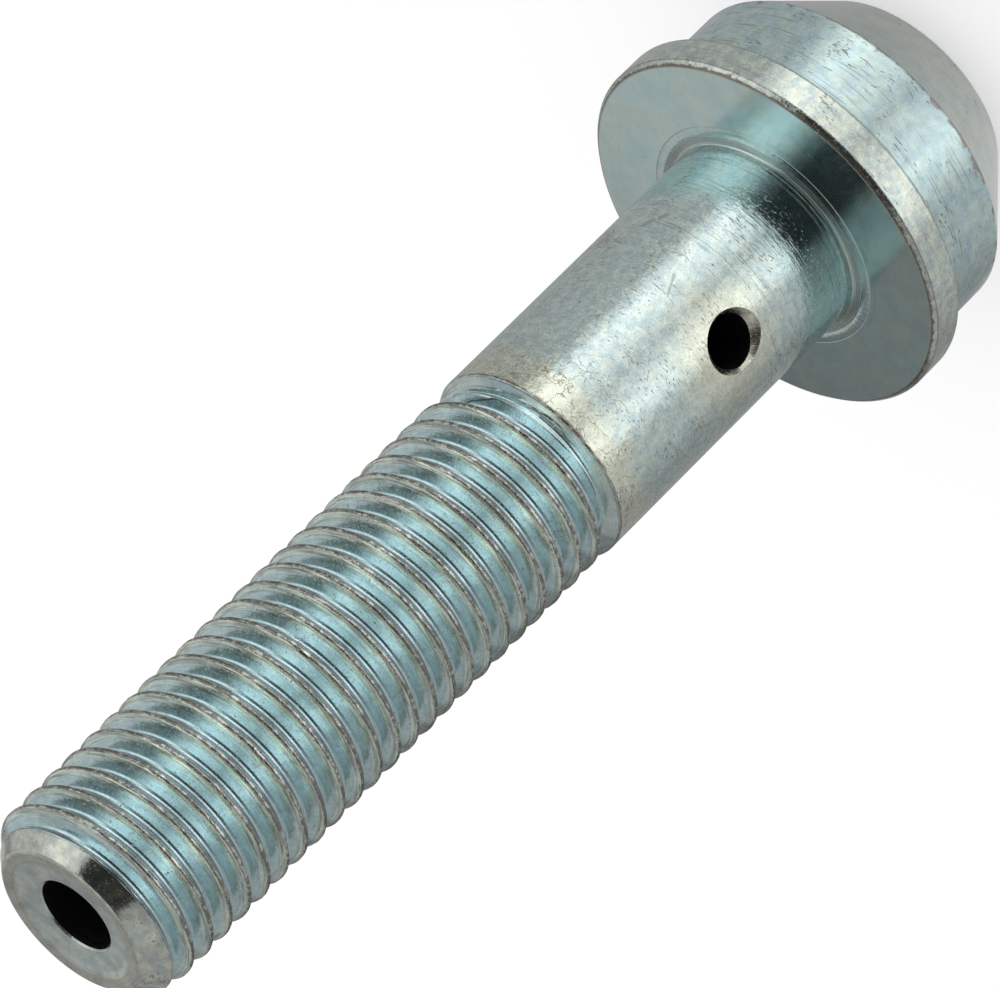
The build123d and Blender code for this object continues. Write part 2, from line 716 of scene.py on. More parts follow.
@dataclass
class ThreadedEnd:
    """The chamfered end with its rounded rim, dished face and bore mouth."""

    threaded_end: float
    face_radius: float
    bore_radius: float
    rim_radius: float = 0.4
    land_inner: float = 3.90  # radius where the flat land inside the rim ends
    land_fall: float = 0.07
    step_inner: float = 3.50  # radius of the foot of the small step inside the land
    step_fall: float = 0.28
    dish_depth: float = 0.42
    lip_chamfer: float = 0.12
    chamfer_start: float = 0.3  # how far below the end the thread's chamfer takes over

    def outline(self, bore_bottom: float) -> list[Point]:
        """Lists the end's outline from the chamfer over the rim and down the bore.

        Args:
            bore_bottom: The height at which it ends, in the bore.

        Returns:
            The outline as (radius, height).
        """
        start = self.threaded_end - self.chamfer_start
        lip_height = self.threaded_end - self.dish_depth
        corners = [
            (self.face_radius + self.chamfer_start, start, 0.0),
            (self.face_radius, self.threaded_end, self.rim_radius),
            (self.land_inner, self.threaded_end - self.land_fall, 0.15),
            (self.step_inner, self.threaded_end - self.step_fall, 0.15),
            (self.bore_radius + self.lip_chamfer, lip_height, 0.04),
            (self.bore_radius, lip_height - self.lip_chamfer, 0.04),
            (self.bore_radius, bore_bottom, 0.0),
        ]
        return rounded_outline(corners)


def rounded_outline(corners: list[tuple[float, float, float]]) -> list[Point]:
    """Turns corners, each with its own rounding, into an outline.

    Args:
        corners: The outline's corners as (radius, height, rounding).

    Returns:
        The outline's points, with an arc at each corner whose rounding isn't 0.
    """
    points = [corners[0][:2]]
    for before, corner, after in zip(corners, corners[1:], corners[2:]):
        if corner[2]:
            points += round_corner(before[:2], corner[:2], after[:2], corner[2])
        else:
            points.append(corner[:2])
    return points + [corners[-1][:2]]


@dataclass
class BanjoBolt:
    """The whole bolt: head, shank, fluid way, thread and threaded end, as one closed piece."""

    length: float
    head: Head
    way: FluidWay
    thread_radius: float
    crest_rise: float = 0.03  # of the thread's crests over its nominal radius, before wear
    shank_end: float = 32.45
    end_face_radius: float = 4.5
    rim_rise: float = 0.0182  # the sharp end's height above the rounded rim's top
    steps: int = 144
    seam_height: float = 32.3  # the shank and the thread are modelled apart and meet here
    seam_gap: float = 0.08  # between two tubes, before they are bridged
    shank_rows: tuple[float, ...] = (17.0, 19.0, 24.0, 28.0)
    margin: float = 0.01
    edge_bend: float = 12.0  # turn in radians for each millimetre of a wholly worn edge
    smooth_angle: float = 38.0  # edges that bend less are shaded smooth
    chips: tuple[Chip, ...] = field(default=(), init=False)
    piece: Piece | None = field(default=None, init=False)

    @classmethod
    def from_frame(cls) -> "BanjoBolt":
        """Reads the bolt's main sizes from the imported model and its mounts.

        Returns:
            The bolt, before it is modelled.
        """
        low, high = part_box(CAD_NODE)
        bore = frame_mount("oil_bore")
        cross_hole = frame_mount("cross_hole")
        shank_radius = frame_mount("shank")["dims"]["r_mm"]
        flange_radius = millimetres(high.x - low.x) / 2
        seal_face = millimetres(frame_mount("seal_face")["pos_m"][2])
        way = FluidWay(
            bore_radius=bore["dims"]["r_mm"],
            bore_floor=18.8,
            cross_hole_radius=cross_hole["dims"]["r_mm"],
            cross_hole_height=millimetres(cross_hole["pos_m"][2]),
            shank_radius=shank_radius,
        )
        return cls(
            length=millimetres(high.z - low.z),
            head=Head(flange_radius, seal_face, shank_radius),
            way=way,
            thread_radius=frame_mount("thread")["dims"]["r_mm"],
        )

    @property
    def threaded_end(self) -> float:
        """Height of the threaded end's sharp rim, before rounding."""
        return self.length + self.rim_rise

    def turn_head_and_shank(self) -> Piece:
        """Turns the head and the plain shank, then cuts the cross hole and the socket.

        Returns:
            The blank, open where the thread joins it.
        """
        outline = self.head.outline()
        outline += [(self.head.shank_radius, height) for height in (*self.shank_rows, self.seam_height)]
        outline += self.way.bore_outline(self.seam_height)
        blank = turn("head_and_shank", outline, self.steps)
        for tool in [self.way.cross_drill(), *self.head.socket_tools()]:
            cut_away(blank, tool)
        lids = [
            face.index
            for face in blank.data.polygons
            if face.normal.z > 0.99 and abs(face.center.z - self.seam_height) < self.margin
        ]
        edit_chosen(blank, "FACE", lids)
        bpy.ops.mesh.delete(type="FACE")
        leave_edit()
        return blank

    def build(self) -> Piece:
        """Models the bolt and joins its stretches into one closed mesh, in metres.

        Returns:
            The finished mesh.
        """
        shank = self.turn_head_and_shank()
        thread = Thread(
            self.thread_radius + self.crest_rise,
            self.threaded_end,
            self.head.shank_radius,
            self.shank_end,
            self.end_face_radius,
        )
        self.chips = thread.chips
        end = ThreadedEnd(self.threaded_end, self.end_face_radius, self.way.bore_radius)
        end_ring = self.threaded_end - end.chamfer_start
        gap = self.seam_gap
        tubes = [
            thread.build_end("thread_run_out", self.seam_height + gap, thread.strip_low - gap),
            thread.build_middle(),
            thread.build_end("thread_start", thread.strip_high + gap, end_ring - gap),
        ]
        cap = turn("threaded_end", end.outline(self.seam_height), self.steps)
        bolt = join([shank, *tubes, cap], "plated_banjo_bolt")
        for bottom in (self.seam_height, thread.strip_low - gap, thread.strip_high, end_ring - gap):
            self.bridge_gap(bolt, bottom)
        clean_up(bolt, gap=1e-3)
        bolt.data.transform(Matrix.Scale(MM, 4))
        self.piece = bolt
        return bolt

    def bridge_gap(self, bolt: Piece, bottom: float) -> None:
        """Joins the two open rings on either side of a gap in the outer wall.

        Args:
            bolt: The joined stretches.
            bottom: The height of the lower ring.
        """
        top = bottom + self.seam_gap
        edit(bolt, pick="EDGE")
        bpy.ops.mesh.select_non_manifold(extend=False)
        leave_edit()
        mesh = bolt.data
        wanted = []
        for edge in mesh.edges:
            ends = [mesh.vertices[index].co for index in edge.vertices]
            outer = all(math.hypot(end.x, end.y) > self.way.bore_radius + 1 for end in ends)
            near = all(bottom - self.margin < end.z < top + self.margin for end in ends)
            if edge.select and outer and near:
                wanted.append(edge.index)
        edit_chosen(bolt, "EDGE", wanted)
        bpy.ops.mesh.bridge_edge_loops()
        leave_edit()

    def region_of(self, place: Vector) -> Region:
        """Tells which stretch of the bolt a place belongs to, by its radius and height in millimetres.

        Args:
            place: The place, in millimetres.

        Returns:
            The stretch.
        """
        head = self.head
        height = place.z
        radius = math.hypot(place.x, place.y)
        shank_radius = head.shank_radius
        above_shank = height - self.shank_end
        cone_radius = shank_radius - Thread.runout_slope * above_shank
        from_hole = math.hypot(place.x, height - self.way.cross_hole_height)
        at_hole = place.y < 0 and from_hole < self.way.cross_hole_radius + 0.46
        at_end = height > self.threaded_end - 0.5
        chamfered = radius + height > self.end_face_radius + self.threaded_end - 0.03
        rules = (
            (Region.BORE, height > head.seal_face and radius < self.way.bore_radius + 0.02),
            (Region.CROWN, height < 9.0 and radius < 5.3),
            (Region.BORE, head.seal_face < height < 30.0 and radius < shank_radius - 0.6),
            (Region.HOLE_EDGE, at_hole and radius < shank_radius - 0.03),
            (Region.CROWN, height < head.crown_height - 0.05),
            (Region.BOSS, height < head.boss_foot + 0.02 and radius < head.boss_radius + 0.1),
            (Region.RIM, height < head.seal_face - 0.05 or radius > head.flange_radius - 0.28),
            (Region.SEAL_FACE, height < head.seal_face + 0.16),
            (Region.SHANK, above_shank < 0),
            (Region.RUNOUT, above_shank < 0.42 and radius > cone_radius - 0.02),
            (Region.DISH, at_end and radius < self.end_face_radius - 0.02),
            (Region.END, at_end or chamfered),
        )
        return next((region for region, holds in rules if holds), Region.THREAD)

    def mark_edges(self) -> None:
        """Stores how sharply the surface turns outwards at each corner, for the wear on the edges."""
        mesh = self.piece.data
        sums = [0.0] * len(mesh.vertices)
        faces = mesh.polygons
        owners: dict[tuple[int, int], list[int]] = {}
        for face in faces:
            for key in face.edge_keys:
                owners.setdefault(key, []).append(face.index)
        for ends, pair in owners.items():
            one, other = (faces[number] for number in pair)
            step = other.center - one.center
            bend = one.normal.angle(other.normal, 0.0)
            if step.dot(one.normal) > 0:
                bend = -bend
            for end in ends:
                sums[end] += bend / max(1e-9, step.length / MM)
        edges = mesh.attributes.new("edge", "FLOAT", "POINT")
        for number, total in enumerate(sums):
            edges.data[number].value = clamp(total / self.edge_bend)

    def mark_knocks(self) -> None:
        """Stores how bright or brown the chips make each corner of the thread."""
        mesh = self.piece.data
        knocks = mesh.attributes.new("knock", "FLOAT", "POINT")
        for vertex in mesh.vertices:
            place = vertex.co / MM
            if place.z < self.shank_end:
                continue
            for chip in self.chips:
                near = chip.share_at(place, 0.4, 0.8)
                if near > 0:
                    knocks.data[vertex.index].value = near * chip.tone

    def dress(self) -> None:
        """Gives each stretch its finish and smooths the shading."""
        effects = SharedEffects()
        finishes = {
            Region.CROWN: CROWN,
            Region.BOSS: BossFinish("plated_boss"),
            Region.RIM: RimFinish("plated_rim"),
            Region.SEAL_FACE: SealFaceFinish("plated_seal_face"),
            Region.SHANK: ShankFinish("plated_shank", hole_height=self.way.cross_hole_height),
            Region.RUNOUT: RUNOUT,
            Region.THREAD: ThreadFinish("plated_thread"),
            Region.END: END,
            Region.DISH: DishFinish("plated_dish"),
            Region.HOLE_EDGE: HOLE_EDGE,
            Region.BORE: BorePaintedShadeFinish(),
        }
        mesh = self.piece.data
        mesh.materials.clear()
        for region in Region:
            mesh.materials.append(finishes[region].build(effects))
        for face in mesh.polygons:
            face.material_index = self.region_of(face.center / MM).value
        self.mark_edges()
        self.mark_knocks()
        make_active(self.piece)
        bpy.ops.object.shade_smooth_by_angle(angle=math.radians(self.smooth_angle))
        apply_modifier(self.piece, "WEIGHTED_NORMAL", keep_sharp=True, weight=50, mode="FACE_AREA")


# ---- shader nodes


Socket = bpy.types.NodeSocket
Colour = tuple[float, float, float]
Stop = tuple[float, Colour]
Inputs = dict[str | int, object]  # values or sockets, by the name or number of their input
Sway = tuple[float, float, float]  # a swaying noise: waves for each millimetre, detail and reach
NOISE_RANGE = (0.3, 0.7)  # between these lie nearly all of a noise's values


def grey(value: float) -> Colour:
    """Gives a grey of one brightness."""
    return (value, value, value)


class NodeBench:
    """Places and joins nodes in one tree, so that a finish reads as a few short lines."""

    def __init__(self, tree: bpy.types.NodeTree) -> None:
        """Starts with an empty tree."""
        self.tree = tree
        tree.nodes.clear()

    @cached_property
    def point(self) -> Socket:
        """The place on the bolt, in millimetres."""
        return self.scale(self.add("ShaderNodeTexCoord").outputs["Object"], 1 / MM)

    @cached_property
    def radius(self) -> Socket:
        """The place's distance from the axis."""
        across, deep, _ = self.split(self.point)
        return self.math("SQRT", self.plus(self.times(across, across), self.times(deep, deep)))

    @cached_property
    def height(self) -> Socket:
        """The place's height along the axis."""
        return self.split(self.point)[2]

    def feed(self, target: Socket, value: object) -> None:
        """Links a socket to an input, or writes a plain value into it.

        Args:
            target: The input.
            value: The socket or value.
        """
        if isinstance(value, bpy.types.NodeSocket):
            self.tree.links.new(value, target)
        elif isinstance(value, tuple) and len(value) == 3 and target.type == "RGBA":
            target.default_value = (*value, 1.0)
        else:
            target.default_value = value

    def add(self, kind: str, inputs: Inputs | None = None, **settings: object) -> bpy.types.Node:
        """Adds a node.

        Args:
            kind: Blender's name of the node's type.
            inputs: What goes into it.
            settings: The node's own settings by name.

        Returns:
            The new node.
        """
        node = self.tree.nodes.new(kind)
        for name, value in settings.items():
            setattr(node, name, value)
        for name, value in (inputs or {}).items():
            self.feed(node.inputs[name], value)
        return node

    def math(self, operation: str, *values: object, clamp: bool = False) -> Socket:
        """Adds a Math node and gives its result."""
        node = self.add("ShaderNodeMath", dict(enumerate(values)), operation=operation, use_clamp=clamp)
        return node.outputs[0]

    def times(self, first: object, second: object) -> Socket:
        """Multiplies two values."""
        return self.math("MULTIPLY", first, second)

    def plus(self, first: object, second: object) -> Socket:
        """Adds two values."""
        return self.math("ADD", first, second)

    def minus(self, first: object, second: object) -> Socket:
        """Takes the second value from the first."""
        return self.math("SUBTRACT", first, second)

    def vector(self, operation: str, *values: object, result: str = "Vector") -> Socket:
        """Adds a Vector Math node and gives its vector, or its value where that is the result."""
        return self.add("ShaderNodeVectorMath", dict(enumerate(values)), operation=operation).outputs[result]

    def dot(self, first: object, second: object) -> Socket:
        """Gives the dot product of two vectors."""
        return self.vector("DOT_PRODUCT", first, second, result="Value")

    def length(self, vector: object) -> Socket:
        """Gives a vector's length."""
        return self.vector("LENGTH", vector, result="Value")

    def scale(self, vector: object, factor: object) -> Socket:
        """Multiplies a vector or a colour by a number."""
        inputs = {0: vector, "Scale": factor}
        return self.add("ShaderNodeVectorMath", inputs, operation="SCALE").outputs["Vector"]

    def split(self, vector: object) -> bpy.types.NodeOutputs:
        """Gives a vector's three parts."""
        return self.add("ShaderNodeSeparateXYZ", {0: vector}).outputs

    def attribute(self, name: str) -> Socket:
        """Gives a number that is stored in the mesh."""
        return self.add("ShaderNodeAttribute", attribute_name=name).outputs["Fac"]

    def remap(
        self, value: object, low: float, high: float, new_low: object = 0.0, new_high: object = 1.0
    ) -> Socket:
        """Maps a value from one range to another, smoothly and within the new range."""
        inputs = {0: value, 1: low, 2: high, 3: new_low, 4: new_high}
        return self.add("ShaderNodeMapRange", inputs, interpolation_type="SMOOTHSTEP").outputs[0]

    def noise(self, scale: object, detail: float = 2.0, at: object = None, w: object = None) -> Socket:
        """Gives a noise pattern's value.

        Args:
            scale: Waves for each unit.
            detail: How many finer waves are laid over them.
            at: Where it is taken, if not at the place on the bolt.
            w: The fourth dimension's value, if it has one.

        Returns:
            The value, from 0 to 1.
        """
        node = self.add("ShaderNodeTexNoise", noise_dimensions="3D" if w is None else "4D")
        inputs = {"Vector": self.point if at is None else at, "Scale": scale, "Detail": detail}
        if w is not None:
            inputs["W"] = w
        for name, value in inputs.items():
            self.feed(node.inputs[name], value)
        return node.outputs[0]

    def sway(self, scale: float, detail: float, reach: float) -> Socket:
        """Gives a noise that swings to and fro about 0, by half its reach each way."""
        return self.times(self.minus(self.noise(scale, detail), 0.5), reach)

    def blend(self, share: object, first: object, second: object) -> Socket:
        """Mixes two colours by a share.

        Args:
            share: The second colour's share.
            first: The first colour.
            second: The second.

        Returns:
            The mixed colour.
        """
        node = self.add("ShaderNodeMix", data_type="RGBA", blend_type="MIX", clamp_factor=True)
        for number, value in {0: share, 6: first, 7: second}.items():
            self.feed(node.inputs[number], value)
        return node.outputs[2]

    def lay_over(self, colour: Socket, layers: tuple[tuple[Socket, Colour], ...]) -> Socket:
        """Lays layers over a colour one after another, each as (mask, tone).

        Args:
            colour: The colour underneath.
            layers: The layers, in their order.

        Returns:
            The colour with its layers.
        """
        for mask, tone in layers:
            colour = self.blend(mask, colour, tone)
        return colour

    def glow(self, colour: object, strength: object = 1.0) -> Socket:
        """Gives a shader that shines with a colour."""
        return self.add("ShaderNodeEmission", {"Color": colour, "Strength": strength}).outputs[0]

    def surface(self, shader: Socket) -> None:
        """Makes a shader the material's surface."""
        self.add("ShaderNodeOutputMaterial", {"Surface": shader})

    def metal(self, inputs: Inputs, relief: Inputs) -> None:
        """Makes metal the material's surface.

        Args:
            inputs: What goes into the metal's shader, apart from its normal.
            relief: What goes into its bump node.
        """
        bump = self.add("ShaderNodeBump", {"Strength": 1.0, **relief}).outputs[0]
        shader = self.add("ShaderNodeBsdfPrincipled", {"Metallic": 1.0, "Normal": bump, **inputs})
        self.surface(shader.outputs[0])

    def ramp(self, value: object, stops: list[Stop]) -> Socket:
        """Adds a colour ramp with the given stops and gives its colour.

        Args:
            value: The place on the ramp, from 0 to 1.
            stops: The stops as (place, colour).

        Returns:
            The colour there.
        """
        node = self.add("ShaderNodeValToRGB", {0: value})
        elements = node.color_ramp.elements
        elements[0].position, elements[1].position = stops[0][0], stops[-1][0]
        elements[0].color, elements[1].color = (*stops[0][1], 1.0), (*stops[-1][1], 1.0)
        for position, colour in stops[1:-1]:
            elements.new(position).color = (*colour, 1.0)
        return node.outputs[0]


def start_material(name: str) -> tuple[bpy.types.Material, NodeBench]:
    """Starts a material and gives it with the bench on its tree.

    Args:
        name: The material's name.

    Returns:
        The material and its bench.
    """
    material = bpy.data.materials.new(name)
    material.use_nodes = True
    return material, NodeBench(material.node_tree)


def start_group(name: str, inputs: dict[str, float], outputs: list[str]) -> tuple[NodeBench, bpy.types.Node]:
    """Starts a node group that works on numbers.

    Args:
        name: The group's name.
        inputs: Its inputs with their usual values.
        outputs: The names of its outputs.

    Returns:
        The bench on the group's tree, and the node that gives its inputs.
    """
    tree = bpy.data.node_groups.new(name, "ShaderNodeTree")
    for key, value in inputs.items():
        tree.interface.new_socket(key, in_out="INPUT", socket_type="NodeSocketFloat").default_value = value
    for key in outputs:
        tree.interface.new_socket(key, in_out="OUTPUT", socket_type="NodeSocketFloat")
    bench = NodeBench(tree)
    return bench, bench.add("NodeGroupInput")


def finish_group(bench: NodeBench, results: dict[str, Socket]) -> bpy.types.NodeTree:
    """Joins a group's results to its outputs and gives the group."""
    bench.add("NodeGroupOutput", results)
    return bench.tree


def drawn_out_noise(
    bench: NodeBench, along: object, across: object, detail: float = 2.0, height: object = None
) -> Socket:
    """Gives a noise that is drawn out round the axis, on walls and on faces alike.

    Args:
        bench: The bench to work on.
        along: Waves for each millimetre round the axis.
        across: Waves for each millimetre across that.
        detail: The noise's detail.
        height: The height to use in place of the bolt's own.

    Returns:
        The noise's value.
    """
    east, north, _ = bench.split(bench.point)
    stretched = {
        0: bench.times(east, along),
        1: bench.times(north, along),
        2: bench.times(bench.height if height is None else height, across),
    }
    place = bench.add("ShaderNodeCombineXYZ", stretched).outputs[0]
    return bench.noise(1.0, detail, place, bench.times(bench.radius, across))


def turning_marks_group() -> bpy.types.NodeTree:
    """Builds the fine rings that a lathe tool leaves, and the dark lines where dirt stays in them.

    Returns:
        The group.
    """
    inputs = {"Across": 6.0, "Along": 0.3, "Spread": 0.0}
    bench, given = start_group("turning_marks", inputs, ["Height", "Lines"])
    rings = drawn_out_noise(bench, given.outputs["Along"], given.outputs["Across"], 3.0)
    spread = bench.times(given.outputs["Spread"], 0.3)
    patches = bench.remap(bench.plus(bench.noise(0.33, 3.0), spread), 0.42, 0.60)
    lines = bench.times(bench.remap(rings, 0.55, 0.66), patches)
    return finish_group(bench, {"Height": rings, "Lines": lines})


def plate_mottle_group() -> bpy.types.NodeTree:
    """Builds the patches of a zinc plate, their drift in tint, its fine grain and its small pits.

    Returns:
        The group.
    """
    inputs = {"Cloud Size": 1.2, "Tint Size": 2.5, "Pit Size": 0.16}
    bench, given = start_group("plate_mottle", inputs, ["Cloud", "Tint", "Grain", "Pits"])
    scales = {name: bench.math("DIVIDE", 1.0, given.outputs[name]) for name in inputs}
    cloud = bench.noise(scales["Cloud Size"], 5.0)
    shifted = bench.vector("ADD", bench.point, (31.0, 17.0, 5.0))
    tint = bench.noise(scales["Tint Size"], 4.0, shifted)
    grain = bench.noise(scales["Pit Size"], 2.0)
    pits = bench.remap(grain, 0.64, 0.74)
    return finish_group(bench, {"Cloud": cloud, "Tint": tint, "Grain": grain, "Pits": pits})


def handling_marks_group() -> bpy.types.NodeTree:
    """Builds short dark scuffs, mostly round the bolt and a few slanted, and small specks.

    Returns:
        The group.
    """
    inputs = {
        "Length": 0.8,
        "Width": 0.14,
        "Amount": 0.5,
        "Speck Length": 0.3,
        "Speck Width": 0.1,
        "Speck Amount": 0.5,
    }
    bench, given = start_group("handling_marks", inputs, ["Scuffs", "Specks"])
    waves = {name: bench.math("DIVIDE", 1.0, given.outputs[name]) for name in inputs}
    slanted = bench.plus(bench.height, bench.times(bench.noise(0.45, 1.0), 1.2))
    streaks = drawn_out_noise(bench, waves["Length"], waves["Width"], 2.0, slanted)
    patches = bench.noise(0.38, 3.0)
    level = bench.minus(0.90, bench.times(given.outputs["Amount"], 0.24))
    excess = bench.minus(bench.plus(streaks, bench.times(patches, 0.32)), level)
    flecks = drawn_out_noise(bench, waves["Speck Length"], waves["Speck Width"], 1.5)
    bunches = bench.noise(0.42, 4.0)
    speck_level = bench.minus(1.42, bench.times(given.outputs["Speck Amount"], 0.24))
    above = bench.minus(bench.plus(flecks, bunches), speck_level)
    return finish_group(
        bench, {"Scuffs": bench.remap(excess, 0.04, 0.13), "Specks": bench.remap(above, 0.0, 0.05)}
    )


def feathered_normal_group() -> bpy.types.NodeTree:
    """Builds a normal that sways round the axis in fine strokes, which feathers what is mirrored.

    Returns:
        The group.
    """
    inputs = {"Length": 0.7, "Width": 0.07, "Sway": 0.05}
    bench, given = start_group("feathered_normal", inputs, [])
    bench.tree.interface.new_socket("Normal", in_out="OUTPUT", socket_type="NodeSocketVector")
    along, across = (bench.math("DIVIDE", 1.0, given.outputs[name]) for name in ("Length", "Width"))
    strokes = drawn_out_noise(bench, along, across)
    sway = bench.times(bench.minus(strokes, 0.5), given.outputs["Sway"])
    round_axis = bench.vector("NORMALIZE", bench.vector("CROSS_PRODUCT", (0.0, 0.0, 1.0), bench.point))
    plain = bench.add("ShaderNodeNewGeometry").outputs["Normal"]
    swayed = bench.vector("NORMALIZE", bench.vector("ADD", plain, bench.scale(round_axis, sway)))
    return finish_group(bench, {"Normal": swayed})


class SharedEffects:
    """The node groups that several finishes use, each built once."""

    def __init__(self) -> None:
        """Builds the groups."""
        self.turning_marks = turning_marks_group()
        self.plate_mottle = plate_mottle_group()
        self.handling_marks = handling_marks_group()
        self.feathered_normal = feathered_normal_group()

    def place(
        self, bench: NodeBench, group: bpy.types.NodeTree, values: tuple[float, ...]
    ) -> dict[str, Socket]:
        """Places a group in a material with its own values.

        Args:
            bench: The material's bench.
            group: The group to place.
            values: What goes into its inputs, in their order.

        Returns:
            The placed group's outputs by name.
        """
        node = bench.add("ShaderNodeGroup", dict(enumerate(values)), node_tree=group)
        return dict(node.outputs.items())


# ---- finishes


@dataclass(frozen=True)
class Scratch:
    """One straight scratch or smudge on the shank, from one place to another, in degrees and millimetres."""

    azimuth_from: float
    height_from: float
    azimuth_to: float
    height_to: float
    width: float
    radius: float = 6.1

    def ends(self) -> tuple[Vector, Vector]:
        """Gives the scratch's two ends."""
        start = place_on_wall(self.radius, self.azimuth_from, self.height_from)
        return start, place_on_wall(self.radius, self.azimuth_to, self.height_to)

    def mask(self, bench: NodeBench) -> Socket:
        """Gives the scratch's mask, soft and ragged at its border.

        Args:
            bench: The material's bench.

        Returns:
            The mask, from 0 to 1.
        """
        start, end = self.ends()
        line = end - start
        away = bench.vector("SUBTRACT", bench.point, tuple(start))
        share = bench.math("DIVIDE", bench.dot(away, tuple(line)), line.length_squared, clamp=True)
        gap = bench.length(bench.vector("SUBTRACT", away, bench.scale(tuple(line), share)))
        ragged = bench.sway(3.0, 3.0, 1.6 * self.width)
        return bench.remap(bench.plus(gap, ragged), self.width, 0.3 * self.width)


@dataclass(frozen=True)
class Change:
    """A value that changes smoothly along the bolt's height or radius."""

    along: str  # height or radius
    start: float
    end: float
    before: float
    after: float

    def read(self, bench: NodeBench) -> Socket:
        """Gives the value at the place on the bolt."""
        return bench.remap(getattr(bench, self.along), self.start, self.end, self.before, self.after)


def read(value: float | Change, bench: NodeBench) -> object:
    """Gives a finish's value at the place on the bolt, whether it changes or not."""
    return value.read(bench) if isinstance(value, Change) else value


@dataclass(frozen=True)
class PlatedFinish:
    """Blue passivated zinc plate over a turned or rolled steel surface. Lengths are in millimetres."""

    name: str
    cool_tone: Colour = (0.56, 0.66, 0.68)
    warm_tone: Colour = (0.68, 0.71, 0.62)
    scuff_tone: Colour = (0.17, 0.15, 0.13)
    speck_tone: Colour = (0.26, 0.23, 0.19)
    line_tone: Colour = (0.22, 0.23, 0.22)
    worn_tone: Colour = (0.36, 0.31, 0.27)
    roughness: float | Change = 0.16
    cloud_roughness: float = 0.03  # how much the clouds change the roughness
    anisotropy: float = 0.4
    turning: Point3 = (7.0, 0.25, 0.0)  # waves across and along the turning, and how far the lines spread
    marks_depth: float | Change = 0.0015
    line_amount: float | Change = 0.3  # how dark the lines in the turning marks are
    mottle: Point3 = (0.9, 2.2, 0.14)  # size of the clouds, of the drift in tint and of the pits
    cloud_contrast: float = 0.10
    cloud_depth: float = 0.0  # how far the clouds swell the surface
    grain_contrast: float = 0.06
    pit_depth: float = 0.003
    scuffs: Point3 = (0.8, 0.12, 0.4)  # length, width and amount
    specks: Point3 = (0.28, 0.10, 0.5)  # the same
    strokes: Point3 = (0.7, 0.07, 0.16)  # length, width and sway of the strokes that feather what is mirrored
    wear_amount: float = 0.6
    wear_start: float = 0.45  # lower where more of an edge is worn
    wear_width: float = 0.25
    wear_sway: Sway = (2.6, 4.0, 1.1)
    edge_damage: float = 0.03
    tint_range: Point = (0.36, 0.64)  # of the noise that the tint drifts with
    speck_share: float = 0.8  # how strongly the marks cover the plate
    scuff_share: float = 0.75
    scratch_share: float = 0.55
    scuff_roughness: float = 0.2  # added where the plate is scuffed or worn
    wear_roughness: float = 0.12
    scuff_depth: float = 0.01
    scratch_depth: float = 0.012
    brushing: float = 0.25  # turn of the anisotropy that lays it round the axis
    texture: float | Change = 1.0  # share of the plate's texture
    scratches: tuple[Scratch, ...] = ()

    def tint(self, bench: NodeBench, drift: Socket) -> Socket:
        """Gives the plate's tint, which drifts between a cool and a warm tone."""
        return bench.blend(bench.remap(drift, *self.tint_range), self.cool_tone, self.warm_tone)

    def groove_depth(self, bench: NodeBench) -> object:
        """Gives the depth of the turning marks."""
        return read(self.marks_depth, bench)

    def line_share(self, bench: NodeBench) -> object:
        """Gives how dark the lines in the turning marks are."""
        return read(self.line_amount, bench)

    def base_roughness(self, bench: NodeBench) -> object:
        """Gives the roughness of the clean plate."""
        return read(self.roughness, bench)

    def scratched(self, bench: NodeBench) -> object:
        """Gives the mask of all the finish's scratches.

        Args:
            bench: The material's bench.

        Returns:
            The mask, from 0 to 1.
        """
        total: object = 0.0
        for scratch in self.scratches:
            total = bench.math("MAXIMUM", total, scratch.mask(bench))
        return total

    def wear(self, bench: NodeBench) -> Socket:
        """Gives the mask of the worn edges.

        Args:
            bench: The material's bench.

        Returns:
            The mask, from 0 to 1.
        """
        reach = bench.plus(bench.attribute("edge"), bench.sway(*self.wear_sway))
        worn = bench.remap(reach, self.wear_start, self.wear_start + self.wear_width)
        return bench.times(worn, self.wear_amount)

    def edge_height(self, bench: NodeBench) -> Socket:
        """Gives the small bruises along the edges, as a height."""
        bruises = bench.times(bench.noise(3.2, 3.0), self.edge_damage)
        return bench.times(bench.remap(bench.attribute("edge"), 0.02, 0.3), bruises)

    def marks(self, bench: NodeBench, effects: SharedEffects) -> dict[str, object]:
        """Places the shared effects with the finish's own values, and finds its wear and scratches.

        Args:
            bench: The material's bench.
            effects: The shared node groups.

        Returns:
            What they give, by name.
        """
        marks = {"Wear": self.wear(bench), "Scratches": self.scratched(bench)}
        placed = (
            (effects.turning_marks, self.turning),
            (effects.plate_mottle, self.mottle),
            (effects.handling_marks, self.scuffs + self.specks),
            (effects.feathered_normal, self.strokes),
        )
        for group, values in placed:
            marks.update(effects.place(bench, group, values))
        return marks

    def colour(self, bench: NodeBench, marks: dict[str, object]) -> Socket:
        """Gives the plate's colour, with its marks laid over it one after another.

        Args:
            bench: The material's bench.
            marks: What the shared effects give, by name.

        Returns:
            The colour.
        """
        shade, fine = (
            bench.remap(marks[name], *NOISE_RANGE, 1.0 - contrast, 1.0 + contrast)
            for name, contrast in (("Cloud", self.cloud_contrast), ("Grain", self.grain_contrast))
        )
        colour = bench.scale(self.tint(bench, marks["Tint"]), bench.times(shade, fine))
        speck_share = bench.times(read(self.texture, bench), self.speck_share)
        layers = (
            (bench.times(marks["Lines"], self.line_share(bench)), self.line_tone),
            (bench.times(marks["Specks"], speck_share), self.speck_tone),
            (bench.times(marks["Scuffs"], self.scuff_share), self.scuff_tone),
            (marks["Wear"], self.worn_tone),
            (bench.times(marks["Scratches"], self.scratch_share), self.worn_tone),
        )
        return bench.lay_over(colour, layers)

